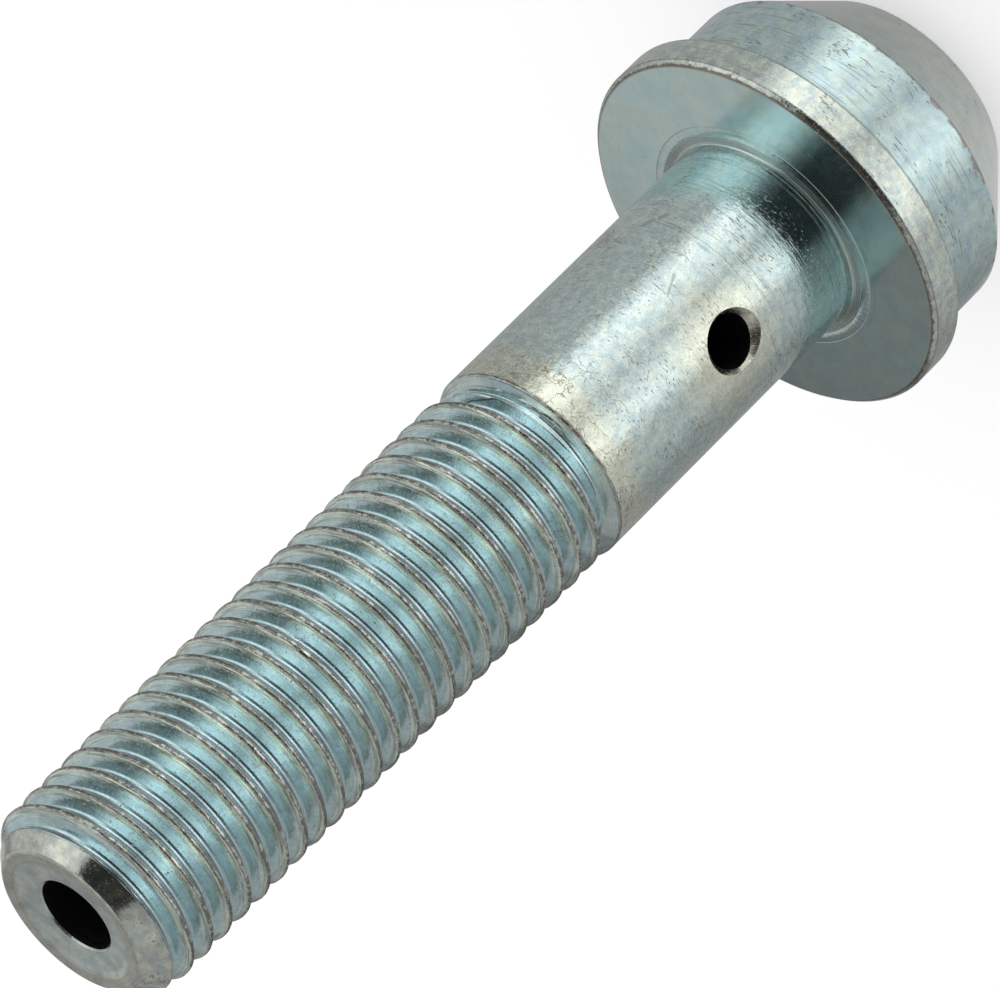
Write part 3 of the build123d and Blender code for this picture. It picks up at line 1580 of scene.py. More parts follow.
    def roughness_at(self, bench: NodeBench, marks: dict[str, object]) -> Socket:
        """Gives the roughness, which drifts with the clouds and rises where the plate is scuffed or worn.

        Args:
            bench: The material's bench.
            marks: What the shared effects give, by name.

        Returns:
            The roughness.
        """
        drift = bench.remap(marks["Cloud"], *NOISE_RANGE, -self.cloud_roughness, self.cloud_roughness)
        rough = bench.plus(self.base_roughness(bench), drift)
        rough = bench.plus(rough, bench.times(marks["Scuffs"], self.scuff_roughness))
        return bench.math("ADD", rough, bench.times(marks["Wear"], self.wear_roughness), clamp=True)

    def height(self, bench: NodeBench, marks: dict[str, object]) -> Socket:
        """Gives the height of the plate's fine relief, in millimetres.

        Args:
            bench: The material's bench.
            marks: What the shared effects give, by name.

        Returns:
            The height.
        """
        height = bench.times(marks["Height"], self.groove_depth(bench))
        height = bench.plus(height, bench.times(marks["Cloud"], self.cloud_depth))
        height = bench.plus(height, bench.times(marks["Grain"], self.pit_depth))
        height = bench.minus(height, bench.times(marks["Pits"], 2 * self.pit_depth))
        height = bench.minus(height, bench.times(marks["Scuffs"], self.scuff_depth))
        height = bench.times(height, read(self.texture, bench))
        height = bench.minus(height, bench.times(marks["Scratches"], self.scratch_depth))
        return bench.plus(height, self.edge_height(bench))

    def build(self, effects: SharedEffects) -> bpy.types.Material:
        """Builds the material.

        Args:
            effects: The shared node groups.

        Returns:
            The finished material.
        """
        material, bench = start_material(self.name)
        marks = self.marks(bench, effects)
        inputs = {
            "Base Color": self.colour(bench, marks),
            "Roughness": self.roughness_at(bench, marks),
            "Anisotropic": self.anisotropy,
            "Anisotropic Rotation": self.brushing,
            "Tangent": bench.add("ShaderNodeTangent", direction_type="RADIAL", axis="Z").outputs[0],
        }
        relief = {"Height": self.height(bench, marks), "Distance": MM, "Normal": marks["Normal"]}
        bench.metal(inputs, relief)
        return material


# The head's coned crown: even and slightly warm, with faint mottling.
CROWN = PlatedFinish(
    name="plated_crown",
    cool_tone=(0.60, 0.68, 0.66),
    warm_tone=(0.66, 0.70, 0.63),
    cloud_contrast=0.06,
    worn_tone=(0.34, 0.31, 0.27),
    specks=(0.28, 0.10, 0.45),
    scuffs=(0.8, 0.12, 0.3),
    line_amount=0.1,
    strokes=(0.7, 0.07, 0.08),
    wear_amount=0.8,
    wear_start=0.25,
)

# The run-out's cone: pale teal, with a few dark rings.
RUNOUT = PlatedFinish(
    name="plated_run_out",
    cool_tone=(0.58, 0.74, 0.77),
    warm_tone=(0.66, 0.73, 0.68),
    roughness=0.13,
    turning=(9.0, 0.08, 0.8),
    marks_depth=0.004,
    line_amount=0.8,
    pit_depth=0.0015,
    scuffs=(0.8, 0.12, 0.2),
    specks=(0.28, 0.10, 0.3),
    strokes=(0.7, 0.07, 0.05),
    wear_amount=0.5,
)

# The end's chamfer and rim: almost a mirror, with creamy cloudy patches.
END = PlatedFinish(
    name="plated_end",
    cool_tone=(0.54, 0.60, 0.57),
    warm_tone=(0.74, 0.77, 0.67),
    scuff_tone=(0.40, 0.40, 0.38),
    roughness=0.12,
    mottle=(0.5, 0.8, 0.14),
    cloud_contrast=0.09,
    cloud_depth=0.008,
    grain_contrast=0.07,
    anisotropy=0.2,
    pit_depth=0.0012,
    line_amount=0.15,
    specks=(0.28, 0.10, 0.95),
    scuffs=(0.5, 0.08, 0.4),
    strokes=(0.7, 0.07, 0.06),
    wear_amount=0.35,
)

# The cross hole's countersunk edge: rough and beige.
HOLE_EDGE = PlatedFinish(
    name="countersunk_edge",
    cool_tone=(0.56, 0.56, 0.50),
    warm_tone=(0.74, 0.71, 0.58),
    roughness=0.26,
    mottle=(0.4, 0.5, 0.14),
    cloud_contrast=0.18,
    grain_contrast=0.14,
    anisotropy=0.0,
    marks_depth=0.004,
    pit_depth=0.008,
    specks=(0.28, 0.10, 0.8),
    strokes=(0.7, 0.07, 0.08),
    wear_amount=0.3,
)


@dataclass(frozen=True)
class BossFinish(PlatedFinish):
    """The boss: bluish, finely brushed round the axis."""

    cool_tone: Colour = (0.50, 0.65, 0.68)
    warm_tone: Colour = (0.60, 0.73, 0.69)
    crown_edge: float = 5.0  # height of the bruised edge between crown and boss
    worn_tone: Colour = (0.34, 0.31, 0.27)
    roughness: float = 0.14
    mottle: Point3 = (0.6, 0.9, 0.14)
    cloud_contrast: float = 0.09
    cloud_depth: float = 0.012
    grain_contrast: float = 0.05
    turning: Point3 = (8.0, 0.35, 0.0)
    marks_depth: float = 0.002
    line_amount: float = 0.55
    specks: Point3 = (0.28, 0.10, 0.7)
    wear_amount: float = 0.8
    wear_sway: Sway = (1.7, 5.0, 1.5)
    scuffs: Point3 = (0.6, 0.09, 0.55)
    strokes: Point3 = (0.8, 0.06, 0.12)

    def wear(self, bench: NodeBench) -> Socket:
        """Gives the mask of the bruises along the crown's edge.

        Args:
            bench: The material's bench.

        Returns:
            The mask, from 0 to 1.
        """
        near = bench.plus(bench.height, bench.sway(*self.wear_sway))
        worn = bench.remap(near, self.crown_edge + 0.12, self.crown_edge - 0.02)
        return bench.times(worn, self.wear_amount)


@dataclass(frozen=True)
class RimFinish(PlatedFinish):
    """The flange's rim: creamy and speckled, brown along both of its edges."""

    cool_tone: Colour = (0.54, 0.63, 0.61)
    warm_tone: Colour = (0.70, 0.75, 0.66)
    edge_tone: Colour = (0.25, 0.22, 0.18)
    top: float = 12.2  # height of the flange's upper face
    bottom: float = 9.8
    top_edge: float = 0.11  # width of the brown band below the upper face
    bottom_edge: float = 0.09
    edge_roughness: float = 0.38
    edge_sway: Sway = (2.4, 5.0, 0.34)
    tint_range: Point = (0.38, 0.62)
    mottle: Point3 = (0.45, 0.6, 0.14)
    cloud_depth: float = 0.010
    grain_contrast: float = 0.10
    specks: Point3 = (0.22, 0.10, 0.8)
    edge_damage: float = 0.09
    strokes: Point3 = (0.7, 0.07, 0.10)

    def edge_mask(self, bench: NodeBench) -> Socket:
        """Gives the mask of the brown bands along the rim's edges.

        Args:
            bench: The material's bench.

        Returns:
            The mask, from 0 to 1.
        """
        ragged = bench.sway(*self.edge_sway)
        high = self.top - self.top_edge
        low = self.bottom + self.bottom_edge
        above = bench.remap(bench.plus(bench.height, ragged), high - 0.05, high + 0.04)
        below = bench.remap(bench.plus(bench.height, bench.times(ragged, 0.4)), low, low - 0.06)
        return bench.math("MAXIMUM", above, below)

    def tint(self, bench: NodeBench, drift: Socket) -> Socket:
        """Gives the rim's tint, brown along its edges."""
        return bench.blend(self.edge_mask(bench), super().tint(bench, drift), self.edge_tone)

    def base_roughness(self, bench: NodeBench) -> object:
        """Gives the roughness, higher along the brown edges."""
        return bench.remap(self.edge_mask(bench), 0.0, 1.0, self.roughness, self.edge_roughness)


@dataclass(frozen=True)
class SealFaceFinish(PlatedFinish):
    """The flange's upper face: smooth teal plate with turned rings round the fillet."""

    cool_tone: Colour = (0.56, 0.72, 0.72)
    warm_tone: Colour = (0.62, 0.73, 0.68)
    line_tone: Colour = (0.27, 0.26, 0.24)
    roughness: float = 0.14
    cloud_roughness: float = 0.01
    cloud_contrast: float = 0.04
    grain_contrast: float = 0.02
    anisotropy: float = 0.2
    turning: Point3 = (6.0, 0.10, 0.0)
    marks_depth: float = 0.0005
    ring_depth: float = 0.003
    ring_inner: float = 6.05
    ring_outer: float = 8.2
    ring_fade: float = 1.6
    pit_depth: float = 0.0005
    specks: Point3 = (0.28, 0.10, 0.25)
    scuffs: Point3 = (0.8, 0.12, 0.15)
    line_amount: float = 0.05
    ring_lines: float = 0.35
    strokes: Point3 = (0.7, 0.07, 0.04)

    def ringed(self, bench: NodeBench, plain: float, ringed: float) -> Socket:
        """Gives one value on the open face and another where the turned rings are.

        Args:
            bench: The material's bench.
            plain: The value on the open face.
            ringed: The value where the rings are.

        Returns:
            The value at the place on the face.
        """
        inside = bench.remap(bench.radius, self.ring_outer, self.ring_outer - self.ring_fade)
        outside = bench.remap(bench.radius, self.ring_inner - 0.1, self.ring_inner + 0.2)
        return bench.remap(bench.times(inside, outside), 0.0, 1.0, plain, ringed)

    def groove_depth(self, bench: NodeBench) -> object:
        """Gives the depth of the turning marks, deeper round the fillet."""
        return self.ringed(bench, self.marks_depth, self.ring_depth)

    def line_share(self, bench: NodeBench) -> object:
        """Gives how dark the turning marks' lines are, darker round the fillet."""
        return self.ringed(bench, self.line_amount, self.ring_lines)


@dataclass(frozen=True)
class ShankFinish(PlatedFinish):
    """The plain shank: finely mottled and specked, brushed near the head and smooth teal at its foot."""

    hole_height: float = 20.0
    cool_tone: Colour = (0.56, 0.69, 0.70)
    warm_tone: Colour = (0.69, 0.79, 0.73)
    foot_tone: Colour = (0.58, 0.76, 0.77)
    halo_tone: Colour = (0.82, 0.83, 0.66)
    # of the cracks, and of the painted shade line along the shank's edge
    crack_and_shade_tone: Colour = (0.28, 0.22, 0.17)
    speck_tone: Colour = (0.30, 0.29, 0.25)
    halo_rise: float = 0.6  # the warm halo's middle above the cross hole's
    halo_reach: Point = (5.6, 2.8)  # where it ends and where it is full
    cream_reach: Point = (31.2, 32.6)  # where the cream near the thread starts and where it is full
    edge_shade_sway: Sway = (1.6, 4.0, 0.5)
    crinkle_depth: float = 0.05
    crack_depth: float = 0.012
    crack_width: Point = (0.012, 0.003)
    crack_shift: Point3 = (7.0, 3.0, 11.0)
    shank_radius: float = 6.1
    shank_end: float = 32.45
    crinkle_start: float = 27.5  # above this height the plate is crinkled
    foot_top: float = 17.4
    foot_bottom: float = 15.2
    texture: Change = Change("height", 13.0, 14.6, 0.06, 0.8)
    brush_top: float = 21.5  # below this height the shank is brushed
    brush_full: float = 17.8
    roughness: Change = Change("height", 17.8, 21.5, 0.075, 0.13)
    marks_depth: Change = Change("height", 21.5, 17.8, 0.0015, 0.010)
    mottle: Point3 = (0.6, 0.5, 0.14)
    cloud_contrast: float = 0.09
    cloud_depth: float = 0.016
    grain_contrast: float = 0.10
    turning: Point3 = (10.0, 0.32, 0.5)
    line_amount: Change = Change("height", 21.5, 17.8, 0.15, 0.5)
    pit_depth: float = 0.006
    scuffs: Point3 = (0.4, 0.07, 0.55)
    specks: Point3 = (0.22, 0.11, 0.9)
    strokes: Point3 = (0.5, 0.06, 0.14)
    scratches: tuple[Scratch, ...] = (
        Scratch(-49.3, 22.65, -43.7, 21.35, 0.085),
        Scratch(-39.0, 22.55, -48.0, 22.62, 0.035),
        Scratch(-8.4, 19.25, -11.0, 18.75, 0.26),
        Scratch(-13.6, 18.45, -15.8, 18.12, 0.24),
        Scratch(-118.0, 17.75, -121.5, 17.35, 0.05),
        Scratch(-27.0, 26.4, -31.0, 26.0, 0.04),
        Scratch(-72.0, 27.2, -69.0, 26.7, 0.04),
    )

    def tint(self, bench: NodeBench, drift: Socket) -> Socket:
        """Gives the shank's tint: teal at its foot, warm round the cross hole, cracked near the thread, with
        a painted shade line along its edge.

        Args:
            bench: The material's bench.
            drift: The noise that the tint drifts with.

        Returns:
            The tint.
        """
        plate = super().tint(bench, drift)
        plate = bench.blend(bench.remap(bench.height, self.foot_bottom, self.foot_top), self.foot_tone, plate)
        halo_middle = (0.0, -self.shank_radius, self.hole_height + self.halo_rise)
        away = bench.length(bench.vector("SUBTRACT", bench.point, halo_middle))
        patchy = bench.plus(away, bench.times(bench.noise(0.8, 4.0), 2.0))
        climbing = bench.plus(bench.height, bench.times(bench.noise(0.7, 4.0), 3.0))
        # Painted shade: a dark line painted just below the shank's edge, standing in for the dark that its
        # rounded edge mirrors.
        border = bench.plus(bench.height, bench.sway(*self.edge_shade_sway))
        border = bench.remap(border, self.shank_end - 0.16, self.shank_end - 0.02)
        layers = (
            (bench.times(bench.remap(patchy, *self.halo_reach), 0.75), self.halo_tone),
            (bench.times(bench.remap(climbing, *self.cream_reach), 0.7), self.halo_tone),
            (bench.times(self.cracks(bench), 0.65), self.crack_and_shade_tone),
            (bench.times(border, 0.85), self.crack_and_shade_tone),
        )
        return bench.lay_over(plate, layers)

    def cracks(self, bench: NodeBench) -> Socket:
        """Gives the mask of the thin winding cracks in the crinkled plate near the thread.

        Args:
            bench: The material's bench.

        Returns:
            The mask, from 0 to 1.
        """
        winding = bench.math("ABSOLUTE", bench.minus(bench.noise(1.2, 4.0), 0.5))
        thin = bench.remap(winding, *self.crack_width)
        elsewhere = bench.vector("ADD", bench.point, self.crack_shift)
        patches = bench.remap(bench.noise(0.5, 3.0, elsewhere), 0.40, 0.52)
        zone = bench.remap(bench.height, self.crinkle_start, self.shank_end - 1.5, 0.12, 1.0)
        zone = bench.times(zone, bench.remap(bench.height, self.brush_full, self.brush_top))
        return bench.times(bench.times(thin, patches), zone)

    def edge_height(self, bench: NodeBench) -> Socket:
        """Gives the crinkles near the thread, as a height.

        Args:
            bench: The material's bench.

        Returns:
            The height.
        """
        zone = bench.remap(bench.height, self.crinkle_start, self.shank_end - 1.0)
        folds = bench.times(bench.noise(1.5, 4.0), bench.times(zone, self.crinkle_depth))
        return bench.minus(folds, bench.times(self.cracks(bench), self.crack_depth))


@dataclass(frozen=True)
class DishFinish(PlatedFinish):
    """The dished end face: duller, with light scratches and cloudy patches."""

    cool_tone: Colour = (0.54, 0.63, 0.62)
    warm_tone: Colour = (0.64, 0.68, 0.63)
    land_tone: Colour = (0.55, 0.56, 0.50)
    land_inner: float = 3.75
    land_sway: Sway = (1.6, 4.0, 0.5)
    scuff_tone: Colour = (0.84, 0.90, 0.90)
    speck_tone: Colour = (0.40, 0.42, 0.40)
    roughness: float = 0.24
    cloud_roughness: float = 0.06
    mottle: Point3 = (0.9, 1.4, 0.14)
    cloud_contrast: float = 0.14
    cloud_depth: float = 0.03
    grain_contrast: float = 0.05
    anisotropy: float = 0.1
    turning: Point3 = (4.0, 0.4, 0.0)
    marks_depth: float = 0.004
    line_amount: float = 0.10
    scuffs: Point3 = (0.6, 0.07, 0.5)
    strokes: Point3 = (0.7, 0.07, 0.04)
    wear_amount: float = 0.3

    def tint(self, bench: NodeBench, drift: Socket) -> Socket:
        """Gives the dish's tint, warmer and greyer on the land round it.

        Args:
            bench: The material's bench.
            drift: The noise that the tint drifts with.

        Returns:
            The tint.
        """
        plate = super().tint(bench, drift)
        ragged = bench.plus(bench.radius, bench.sway(*self.land_sway))
        land = bench.remap(ragged, self.land_inner - 0.08, self.land_inner + 0.08)
        return bench.blend(land, plate, self.land_tone)


@dataclass(frozen=True)
class ThreadFinish(PlatedFinish):
    """The rolled thread: pale teal flanks, streaked towards the crests, which are worn and beaded."""

    root_radius: float = 5.105
    crest_radius: float = 6.03
    flank_cool: Colour = (0.58, 0.76, 0.79)
    flank_mid: Colour = (0.59, 0.75, 0.77)
    flank_warm: Colour = (0.63, 0.69, 0.60)
    crest_light: Colour = (0.66, 0.66, 0.61)
    crest_dark: Colour = (0.29, 0.28, 0.25)
    # painted shade: the dark line along the run-out's seam, and where it lies
    seam_shade_tone: Colour = (0.13, 0.14, 0.13)
    seam_height: float = 33.21  # of the seam between the last ridge and the run-out
    seam_azimuth: float = -46.0  # its middle, in degrees from the bolt's X axis
    seam_reach: Point = (0.98, 0.80)  # where it ends and where it is full, in radians from its middle
    seam_climb: float = 0.26  # it rises towards the thread from here on
    crest_roughness: float = 0.18
    crest_sway: Sway = (3.6, 3.0, 0.14)
    bead_range: Point = (0.46, 0.62)
    bead_height: float = 0.05
    seam_sway: Sway = (1.2, 3.0, 0.14)
    seam_width: Point = (0.032, 0.016)
    flank_stops: Point3 = (0.05, 0.52, 0.88)  # of the groove's depth
    knock_light: Colour = (0.90, 0.88, 0.76)
    knock_brown: Colour = (0.25, 0.18, 0.11)
    # painted shade for the roots' down-facing corners
    corner_shade_tone: Colour = (0.31, 0.28, 0.32)
    worn_tone: Colour = (0.24, 0.18, 0.13)
    roughness: float = 0.10
    mottle: Point3 = (0.5, 2.2, 0.11)
    cloud_contrast: float = 0.07
    grain_contrast: float = 0.07
    anisotropy: float = 0.2
    turning: Point3 = (11.0, 0.5, 0.6)
    marks_depth: float = 0.002
    line_amount: Change = Change("radius", 5.105 + 0.25, 6.03 - 0.1, 0.08, 0.8)
    shade_line_strength: float = 0.85  # of the painted shade lines in the roots' down-facing corners and along the run-out's seam
    streak_contrast: float = 0.30  # of the pale and dark streaks near the crest
    wear_amount: float = 0.8
    pit_depth: float = 0.007
    scuffs: Point3 = (0.3, 0.12, 0.15)
    specks: Point3 = (0.12, 0.10, 0.5)
    strokes: Point3 = (0.3, 0.3, 0.025)

    def crest_mask(self, bench: NodeBench) -> Socket:
        """Gives the mask of the worn crests, with a ragged border."""
        rise = bench.plus(bench.radius, bench.sway(*self.crest_sway))
        return bench.remap(rise, self.crest_radius - 0.07, self.crest_radius - 0.04)

    def seam(self, bench: NodeBench) -> Socket:
        """Gives the mask of the painted shade along the seam that the last ridge leaves in the run-out: a
        dark line painted there.

        Args:
            bench: The material's bench.

        Returns:
            The mask, from 0 to 1.
        """
        turn = Matrix.Rotation(math.radians(self.seam_azimuth), 3, "Z")
        across, forward = (tuple(turn @ Vector(axis)) for axis in ((0, -1, 0), (1, 0, 0)))
        turned = bench.math("ARCTAN2", bench.dot(bench.point, across), bench.dot(bench.point, forward))
        climb = bench.math("MINIMUM", bench.minus(turned, self.seam_climb), 0.0)
        climb = bench.times(bench.times(climb, climb), 0.5)
        wavy = bench.sway(*self.seam_sway)
        off = bench.minus(bench.height, bench.plus(bench.plus(climb, wavy), self.seam_height))
        line = bench.remap(bench.math("ABSOLUTE", off), *self.seam_width)
        return bench.times(line, bench.remap(bench.math("ABSOLUTE", turned), *self.seam_reach))

    def base_roughness(self, bench: NodeBench) -> object:
        """Gives the roughness, higher on the worn crests."""
        return bench.remap(self.crest_mask(bench), 0.0, 1.0, self.roughness, self.crest_roughness)

    def tint(self, bench: NodeBench, drift: Socket) -> Socket:
        """Gives the thread's tint by the depth in its groove, and the beads of the worn crests.

        Args:
            bench: The material's bench.
            drift: The noise that the tint drifts with.

        Returns:
            The tint.
        """
        uneven = bench.times(bench.minus(drift, 0.5), 0.4)
        depth = bench.minus(bench.radius, self.root_radius)
        depth = bench.math("DIVIDE", depth, self.crest_radius - self.root_radius)
        tones = (self.flank_cool, self.flank_mid, self.flank_warm)
        flank = bench.ramp(bench.plus(depth, uneven), list(zip(self.flank_stops, tones)))
        streaks = bench.remap(drawn_out_noise(bench, 0.4, 8.0), *self.tint_range, -1.0, 1.0)
        share = bench.remap(depth, 0.35, 0.85, 0.03, self.streak_contrast)
        flank = bench.scale(flank, bench.plus(bench.times(streaks, share), 1.0))
        beads = bench.remap(bench.noise(2.6, 4.0), *self.bead_range)
        crest = bench.blend(beads, self.crest_dark, self.crest_light)
        plate = bench.blend(self.crest_mask(bench), flank, crest)
        # Painted shade: the roots' corners that face down, towards the head, are darkened.
        facing = bench.split(bench.add("ShaderNodeTexCoord").outputs["Normal"])[2]
        low = bench.remap(bench.radius, self.root_radius + 0.16, self.root_radius + 0.10)
        corner = bench.times(low, bench.remap(facing, -0.20, -0.36))
        knock = bench.attribute("knock")
        layers = (
            (bench.times(corner, self.shade_line_strength), self.corner_shade_tone),
            (bench.times(self.seam(bench), self.shade_line_strength), self.seam_shade_tone),
            (bench.remap(knock, 0.2, 0.6), self.knock_light),
            (bench.remap(knock, -0.2, -0.6), self.knock_brown),
        )
        return bench.lay_over(plate, layers)

    def wear(self, bench: NodeBench) -> Socket:
        """Gives the mask of the brown specks on the crests and flanks."""
        return bench.times(bench.remap(bench.noise(4.6), 0.69, 0.74), self.wear_amount)

    def edge_height(self, bench: NodeBench) -> Socket:
        """Gives the beads along the crests, as a height."""
        return bench.times(self.crest_mask(bench), bench.times(bench.noise(4.2), self.bead_height))


@dataclass(frozen=True)
class BorePaintedShadeFinish:
    """Drilled bore in painted shade: its tone is far darker than the steel's own, because no light gets down
    to it.
    """

    name: str = "drilled_steel"
    # Painted shade: near black, far darker than the steel's own colour.
    colour: Colour = grey(0.06)
    groove_share: float = 0.6  # of the colour, in the drill marks
    roughness: float = 0.5
    roughness_swing: float = 0.1
    marks_depth: float = 0.01

    def build(self, effects: SharedEffects) -> bpy.types.Material:
        """Builds the material, with drill marks round its wall.

        Args:
            effects: The shared node groups.

        Returns:
            The finished material.
        """
        material, bench = start_material(self.name)
        rings = effects.place(bench, effects.turning_marks, (5.0, 0.4))["Height"]
        groove = tuple(self.groove_share * part for part in self.colour)
        lowest = self.roughness - self.roughness_swing
        inputs = {
            "Base Color": bench.blend(bench.remap(rings, *NOISE_RANGE), self.colour, groove),
            "Roughness": bench.remap(rings, *NOISE_RANGE, lowest, self.roughness + self.roughness_swing),
        }
        bench.metal(inputs, {"Height": rings, "Distance": self.marks_depth * MM})
        return material


# ---- studio


@dataclass(frozen=True)
class Camera:
    """The camera, by the direction from which it looks, in degrees and metres."""

    azimuth: float = 28.84  # 0 looks along +Y, 90 along -X
    elevation: float = 28.84
    roll: float = 134.72
    distance: float = 0.39556
    target_height: float = 0.03488
    aside: float = -0.00006  # how far it stands to the side
    lens: float = 271.27

    def towards(self) -> Vector:
        """Gives the direction from the bolt to the camera, level with the floor."""
        turn_by = math.radians(self.azimuth)
        return Vector((math.sin(turn_by), -math.cos(turn_by), 0.0))

    def sideways(self) -> Vector:
        """Gives the level direction that lies a quarter turn clockwise from the camera's, seen from above."""
        return Vector((0, 0, -1)).cross(self.towards())

    def build(self) -> Piece:
        """Adds the camera and makes it the scene's own.

        Returns:
            The camera.
        """
        rise = math.radians(self.elevation)
        back = self.towards() * math.cos(rise) + Vector((0, 0, math.sin(rise)))
        level_right = Vector((0, 0, 1)).cross(back).normalized()
        level_up = back.cross(level_right)
        roll = math.radians(self.roll)
        up = level_up * math.cos(roll) + level_right * math.sin(roll)
        right = up.cross(back)
        bpy.ops.object.camera_add()
        camera = bpy.context.object
        camera.name = "camera"
        place = Vector((0, 0, self.target_height)) + back * self.distance + self.sideways() * self.aside
        axes = Matrix((right, up, back)).transposed().to_4x4()
        camera.matrix_world = Matrix.Translation(place) @ axes
        camera.data.lens = self.lens
        camera.data.clip_start = 0.01
        camera.data.clip_end = 20.0
        bpy.context.scene.camera = camera
        return camera


@dataclass
class Studio:
    """Pale floor, white surround, soft light, and the panels that the polished metal mirrors.

    Angles are in degrees round the bolt's axis, 0 towards the camera and positive on its own left,
    and a level is a panel's brightness.
    """

    camera: Camera
    floor_size: float = 6.0
    floor_tone: Colour = (0.80, 0.80, 0.80)
    floor_lift: float = 0.43  # added for the camera, so that the lit floor is white
    room_level: float = 0.75
    roof_level: float = 0.43
    roof_edge: Point = (70.0, 78.0)  # between these elevations the walls turn into the roof
    skirting_top: Point = (4.0, 12.0)  # between these the skirting turns into the lower walls
    fill_top: Point = (17.0, 24.0)  # below these every wall is at least as bright as the fill
    fill_level: float = 0.18
    wall_split: Point = (36.0, 44.0)  # between these the lower walls turn into the upper ones
    foot_levels: Point = (0.40, 0.60)  # of the table close to the bolt, on its left and right
    back_levels: Point = (0.48, 0.20)  # of the back card's two sides
    back_card_size: Point = (0.16, 0.064)
    back_card_distance: float = 0.06
    skirting: tuple[Point, ...] = (
        (-180, 0.30), (-80, 0.30), (-60, 0.85), (-33, 0.25), (-18, 0.03), (36, 0.03), (60, 0.30), (180, 0.30),
    )
    lower_walls: tuple[Point, ...] = (
        (-180, 0.35), (-160, 0.55), (-115, 0.55), (-85, 1.00), (-60, 1.00), (-33, 0.20), (-18, 0.03),
        (36, 0.03), (56, 0.25), (105, 0.40), (180, 0.35),
    )
    upper_walls: tuple[Point, ...] = (
        (-180, 0.45), (-118, 0.45), (-90, 0.90), (-56, 0.75), (-47, 0.03), (45, 0.03), (52, 0.30), (95, 0.50),
        (135, 0.35), (180, 0.40),
    )
    near_table: tuple[Point, ...] = (
        (-180, 0.35), (-62, 0.50), (-40, 1.35), (-6, 0.85), (0, 0.65), (9, 0.85), (34, 1.25), (60, 0.55),
        (80, 0.55), (120, 0.30), (180, 0.35),
    )
    far_table: tuple[Point, ...] = (
        (-180, 0.30), (-70, 0.25), (-42, 1.35), (-6, 0.80), (0, 0.60), (9, 0.80), (34, 1.20), (60, 0.55),
        (80, 0.50), (120, 0.30), (180, 0.30),
    )

    def settle(self, name: str) -> Piece:
        """Names the new object, fixes its place in its mesh and gives it.

        Args:
            name: The object's name.

        Returns:
            The object.
        """
        piece = bpy.context.object
        piece.name = name
        bpy.ops.object.transform_apply(location=True, rotation=True, scale=True)
        return piece

    def build_floor(self) -> Piece:
        """Adds the floor, white where no shadow falls on it.

        Returns:
            The floor.
        """
        deselect_all()
        bpy.ops.mesh.primitive_plane_add(size=self.floor_size, location=(0, 0, -0.00002))
        floor = self.settle("studio_floor")
        material, bench = start_material("floor_paper")
        path = bench.add("ShaderNodeLightPath").outputs
        seen = bench.math("MAXIMUM", path["Is Camera Ray"], path["Is Glossy Ray"])
        seen = bench.math("MAXIMUM", seen, path["Is Transmission Ray"])
        paper = bench.add("ShaderNodeBsdfDiffuse", {"Color": self.floor_tone}).outputs[0]
        lift = bench.glow(grey(1.0), bench.times(seen, self.floor_lift))
        bench.surface(bench.add("ShaderNodeAddShader", {0: paper, 1: lift}).outputs[0])
        floor.data.materials.append(material)
        return floor

    def facing_angle(self, bench: NodeBench, direction: Socket) -> Socket:
        """Gives a direction's angle round the axis, as 0 to 1 with 0.5 towards the camera.

        Args:
            bench: The bench to work on.
            direction: The direction.

        Returns:
            The angle as 0 to 1.
        """
        forward = bench.dot(direction, tuple(self.camera.towards()))
        sideways = bench.dot(direction, tuple(self.camera.sideways()))
        angle = bench.math("ARCTAN2", sideways, forward)
        return bench.plus(bench.math("DIVIDE", angle, 2 * math.pi), 0.5)

    def panels(self, bench: NodeBench, angle: Socket, levels: tuple[Point, ...]) -> Socket:
        """Sets grey panels round the bolt, each fading into the next.

        Args:
            bench: The bench to work on.
            angle: The angle round the axis, as 0 to 1.
            levels: The panels as (degrees, level).

        Returns:
            The panels' colour at the angle.
        """
        return bench.ramp(angle, [(degrees / 360 + 0.5, grey(level)) for degrees, level in levels])

    def build_surround(self) -> None:
        """Makes the world: white to the camera, a tent of soft panels to the metal."""
        world = bpy.data.worlds.new("light_tent")
        bpy.context.scene.world = world
        world.use_nodes = True
        bench = NodeBench(world.node_tree)
        direction = bench.add("ShaderNodeTexCoord").outputs["Generated"]
        height = bench.split(direction)[2]
        angle = self.facing_angle(bench, direction)
        joints = (self.skirting_top, self.fill_top, self.wall_split, self.roof_edge)
        rim, fill, split, edge = ([math.sin(math.radians(rise)) for rise in pair] for pair in joints)
        lower = self.panels(bench, angle, self.lower_walls)
        lower = bench.blend(bench.remap(height, *rim), self.panels(bench, angle, self.skirting), lower)
        filled = bench.vector("MAXIMUM", lower, (self.fill_level,) * 3)
        lower = bench.blend(bench.remap(height, *fill), filled, lower)
        walls = bench.blend(bench.remap(height, *split), lower, self.panels(bench, angle, self.upper_walls))
        roof = bench.remap(height, *edge)
        tent = bench.blend(roof, walls, grey(self.roof_level))
        path = bench.add("ShaderNodeLightPath").outputs
        mirrored, room, white = (
            bench.add("ShaderNodeBackground", {"Color": colour, "Strength": 1.0}).outputs[0]
            for colour in (tent, grey(self.room_level), grey(1.0))
        )
        lit = bench.add("ShaderNodeMixShader", {0: path["Is Glossy Ray"], 1: room, 2: mirrored}).outputs[0]
        seen = bench.add("ShaderNodeMixShader", {0: path["Is Camera Ray"], 1: lit, 2: white}).outputs[0]
        bench.add("ShaderNodeOutputWorld", {"Surface": seen})

    def mirrored_only(self, card: Piece) -> NodeBench:
        """Lets only the metal see a card, and starts its material.

        Args:
            card: The card.

        Returns:
            The bench on its material.
        """
        card.visible_camera = False
        card.visible_diffuse = False
        card.visible_transmission = False
        card.visible_shadow = False
        material, bench = start_material(card.name)
        card.data.materials.append(material)
        return bench

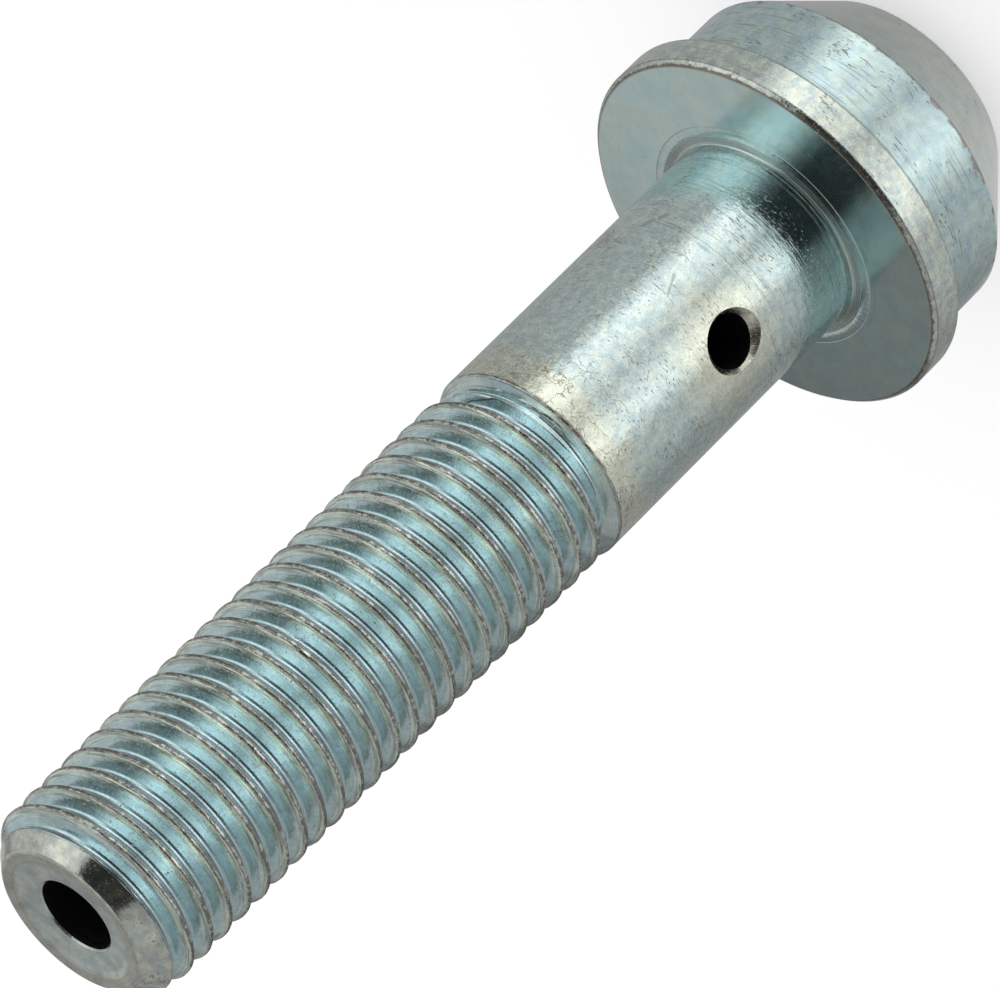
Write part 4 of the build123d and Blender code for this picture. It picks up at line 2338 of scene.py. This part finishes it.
    def build_table_card(self) -> Piece:
        """Lays a card round the bolt that only the metal mirrors: white in front, grey at the sides.

        Returns:
            The card.
        """
        deselect_all()
        bpy.ops.mesh.primitive_circle_add(vertices=96, radius=2.9, fill_type="NGON", location=(0, 0, 0.0001))
        card = self.settle("reflector_card")
        bench = self.mirrored_only(card)
        place = bench.add("ShaderNodeTexCoord").outputs["Object"]
        focus = self.camera.towards() * 4.5 * MM
        angle = self.facing_angle(bench, bench.vector("SUBTRACT", place, tuple(focus)))
        reach = bench.length(place)
        distant = bench.remap(reach, 54 * MM, 72 * MM)
        table = self.panels(bench, angle, self.near_table)
        table = bench.blend(distant, table, self.panels(bench, angle, self.far_table))
        beside = bench.remap(reach, 12 * MM, 16 * MM)
        sideways = bench.dot(place, tuple(self.camera.sideways()))
        left, right = (grey(level) for level in self.foot_levels)
        foot = bench.blend(bench.remap(sideways, -6 * MM, 8 * MM), left, right)
        bench.surface(bench.glow(bench.blend(beside, foot, table)))
        return card

    def build_back_card(self) -> Piece:
        """Stands a card behind the bolt that only the metal mirrors: light on one side, dark on the other.

        Returns:
            The card.
        """
        deselect_all()
        bpy.ops.mesh.primitive_plane_add(size=1.0)
        card = bpy.context.object
        width, height = self.back_card_size
        card.scale = (width, height, 1.0)
        card.rotation_euler = (math.radians(90), 0, math.radians(self.camera.azimuth))
        middle = Vector((0, 0, height / 2 + 0.0005))
        card.location = middle - self.camera.towards() * self.back_card_distance
        self.settle("back_card")
        bench = self.mirrored_only(card)
        place = bench.add("ShaderNodeTexCoord").outputs["Object"]
        sideways = bench.dot(place, tuple(self.camera.sideways()))
        rise = bench.split(place)[2]
        shade = bench.remap(rise, 0.038, 0.051, 0.84, 1.08)
        level = bench.times(bench.remap(sideways, -2 * MM, 6 * MM, *self.back_levels), shade)
        bench.surface(bench.glow(bench.blend(level, grey(0.0), grey(1.0))))
        return card

    def build(self) -> None:
        """Sets up the whole studio."""
        self.camera.build()
        self.build_floor()
        self.build_table_card()
        self.build_back_card()
        self.build_surround()
        bpy.context.scene.view_settings.view_transform = "Standard"


def main() -> None:
    """Builds the studio and the bolt, and dresses the bolt."""
    logging.basicConfig(level=logging.INFO, format="%(message)s")
    Studio(Camera()).build()
    bolt = BanjoBolt.from_frame()
    piece = bolt.build()
    bolt.dress()
    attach(piece, BODY)
    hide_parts(CAD_NODE)
    LOG.info("%s: %d faces", piece.name, len(piece.data.polygons))


if __name__ == "__main__":
    main()
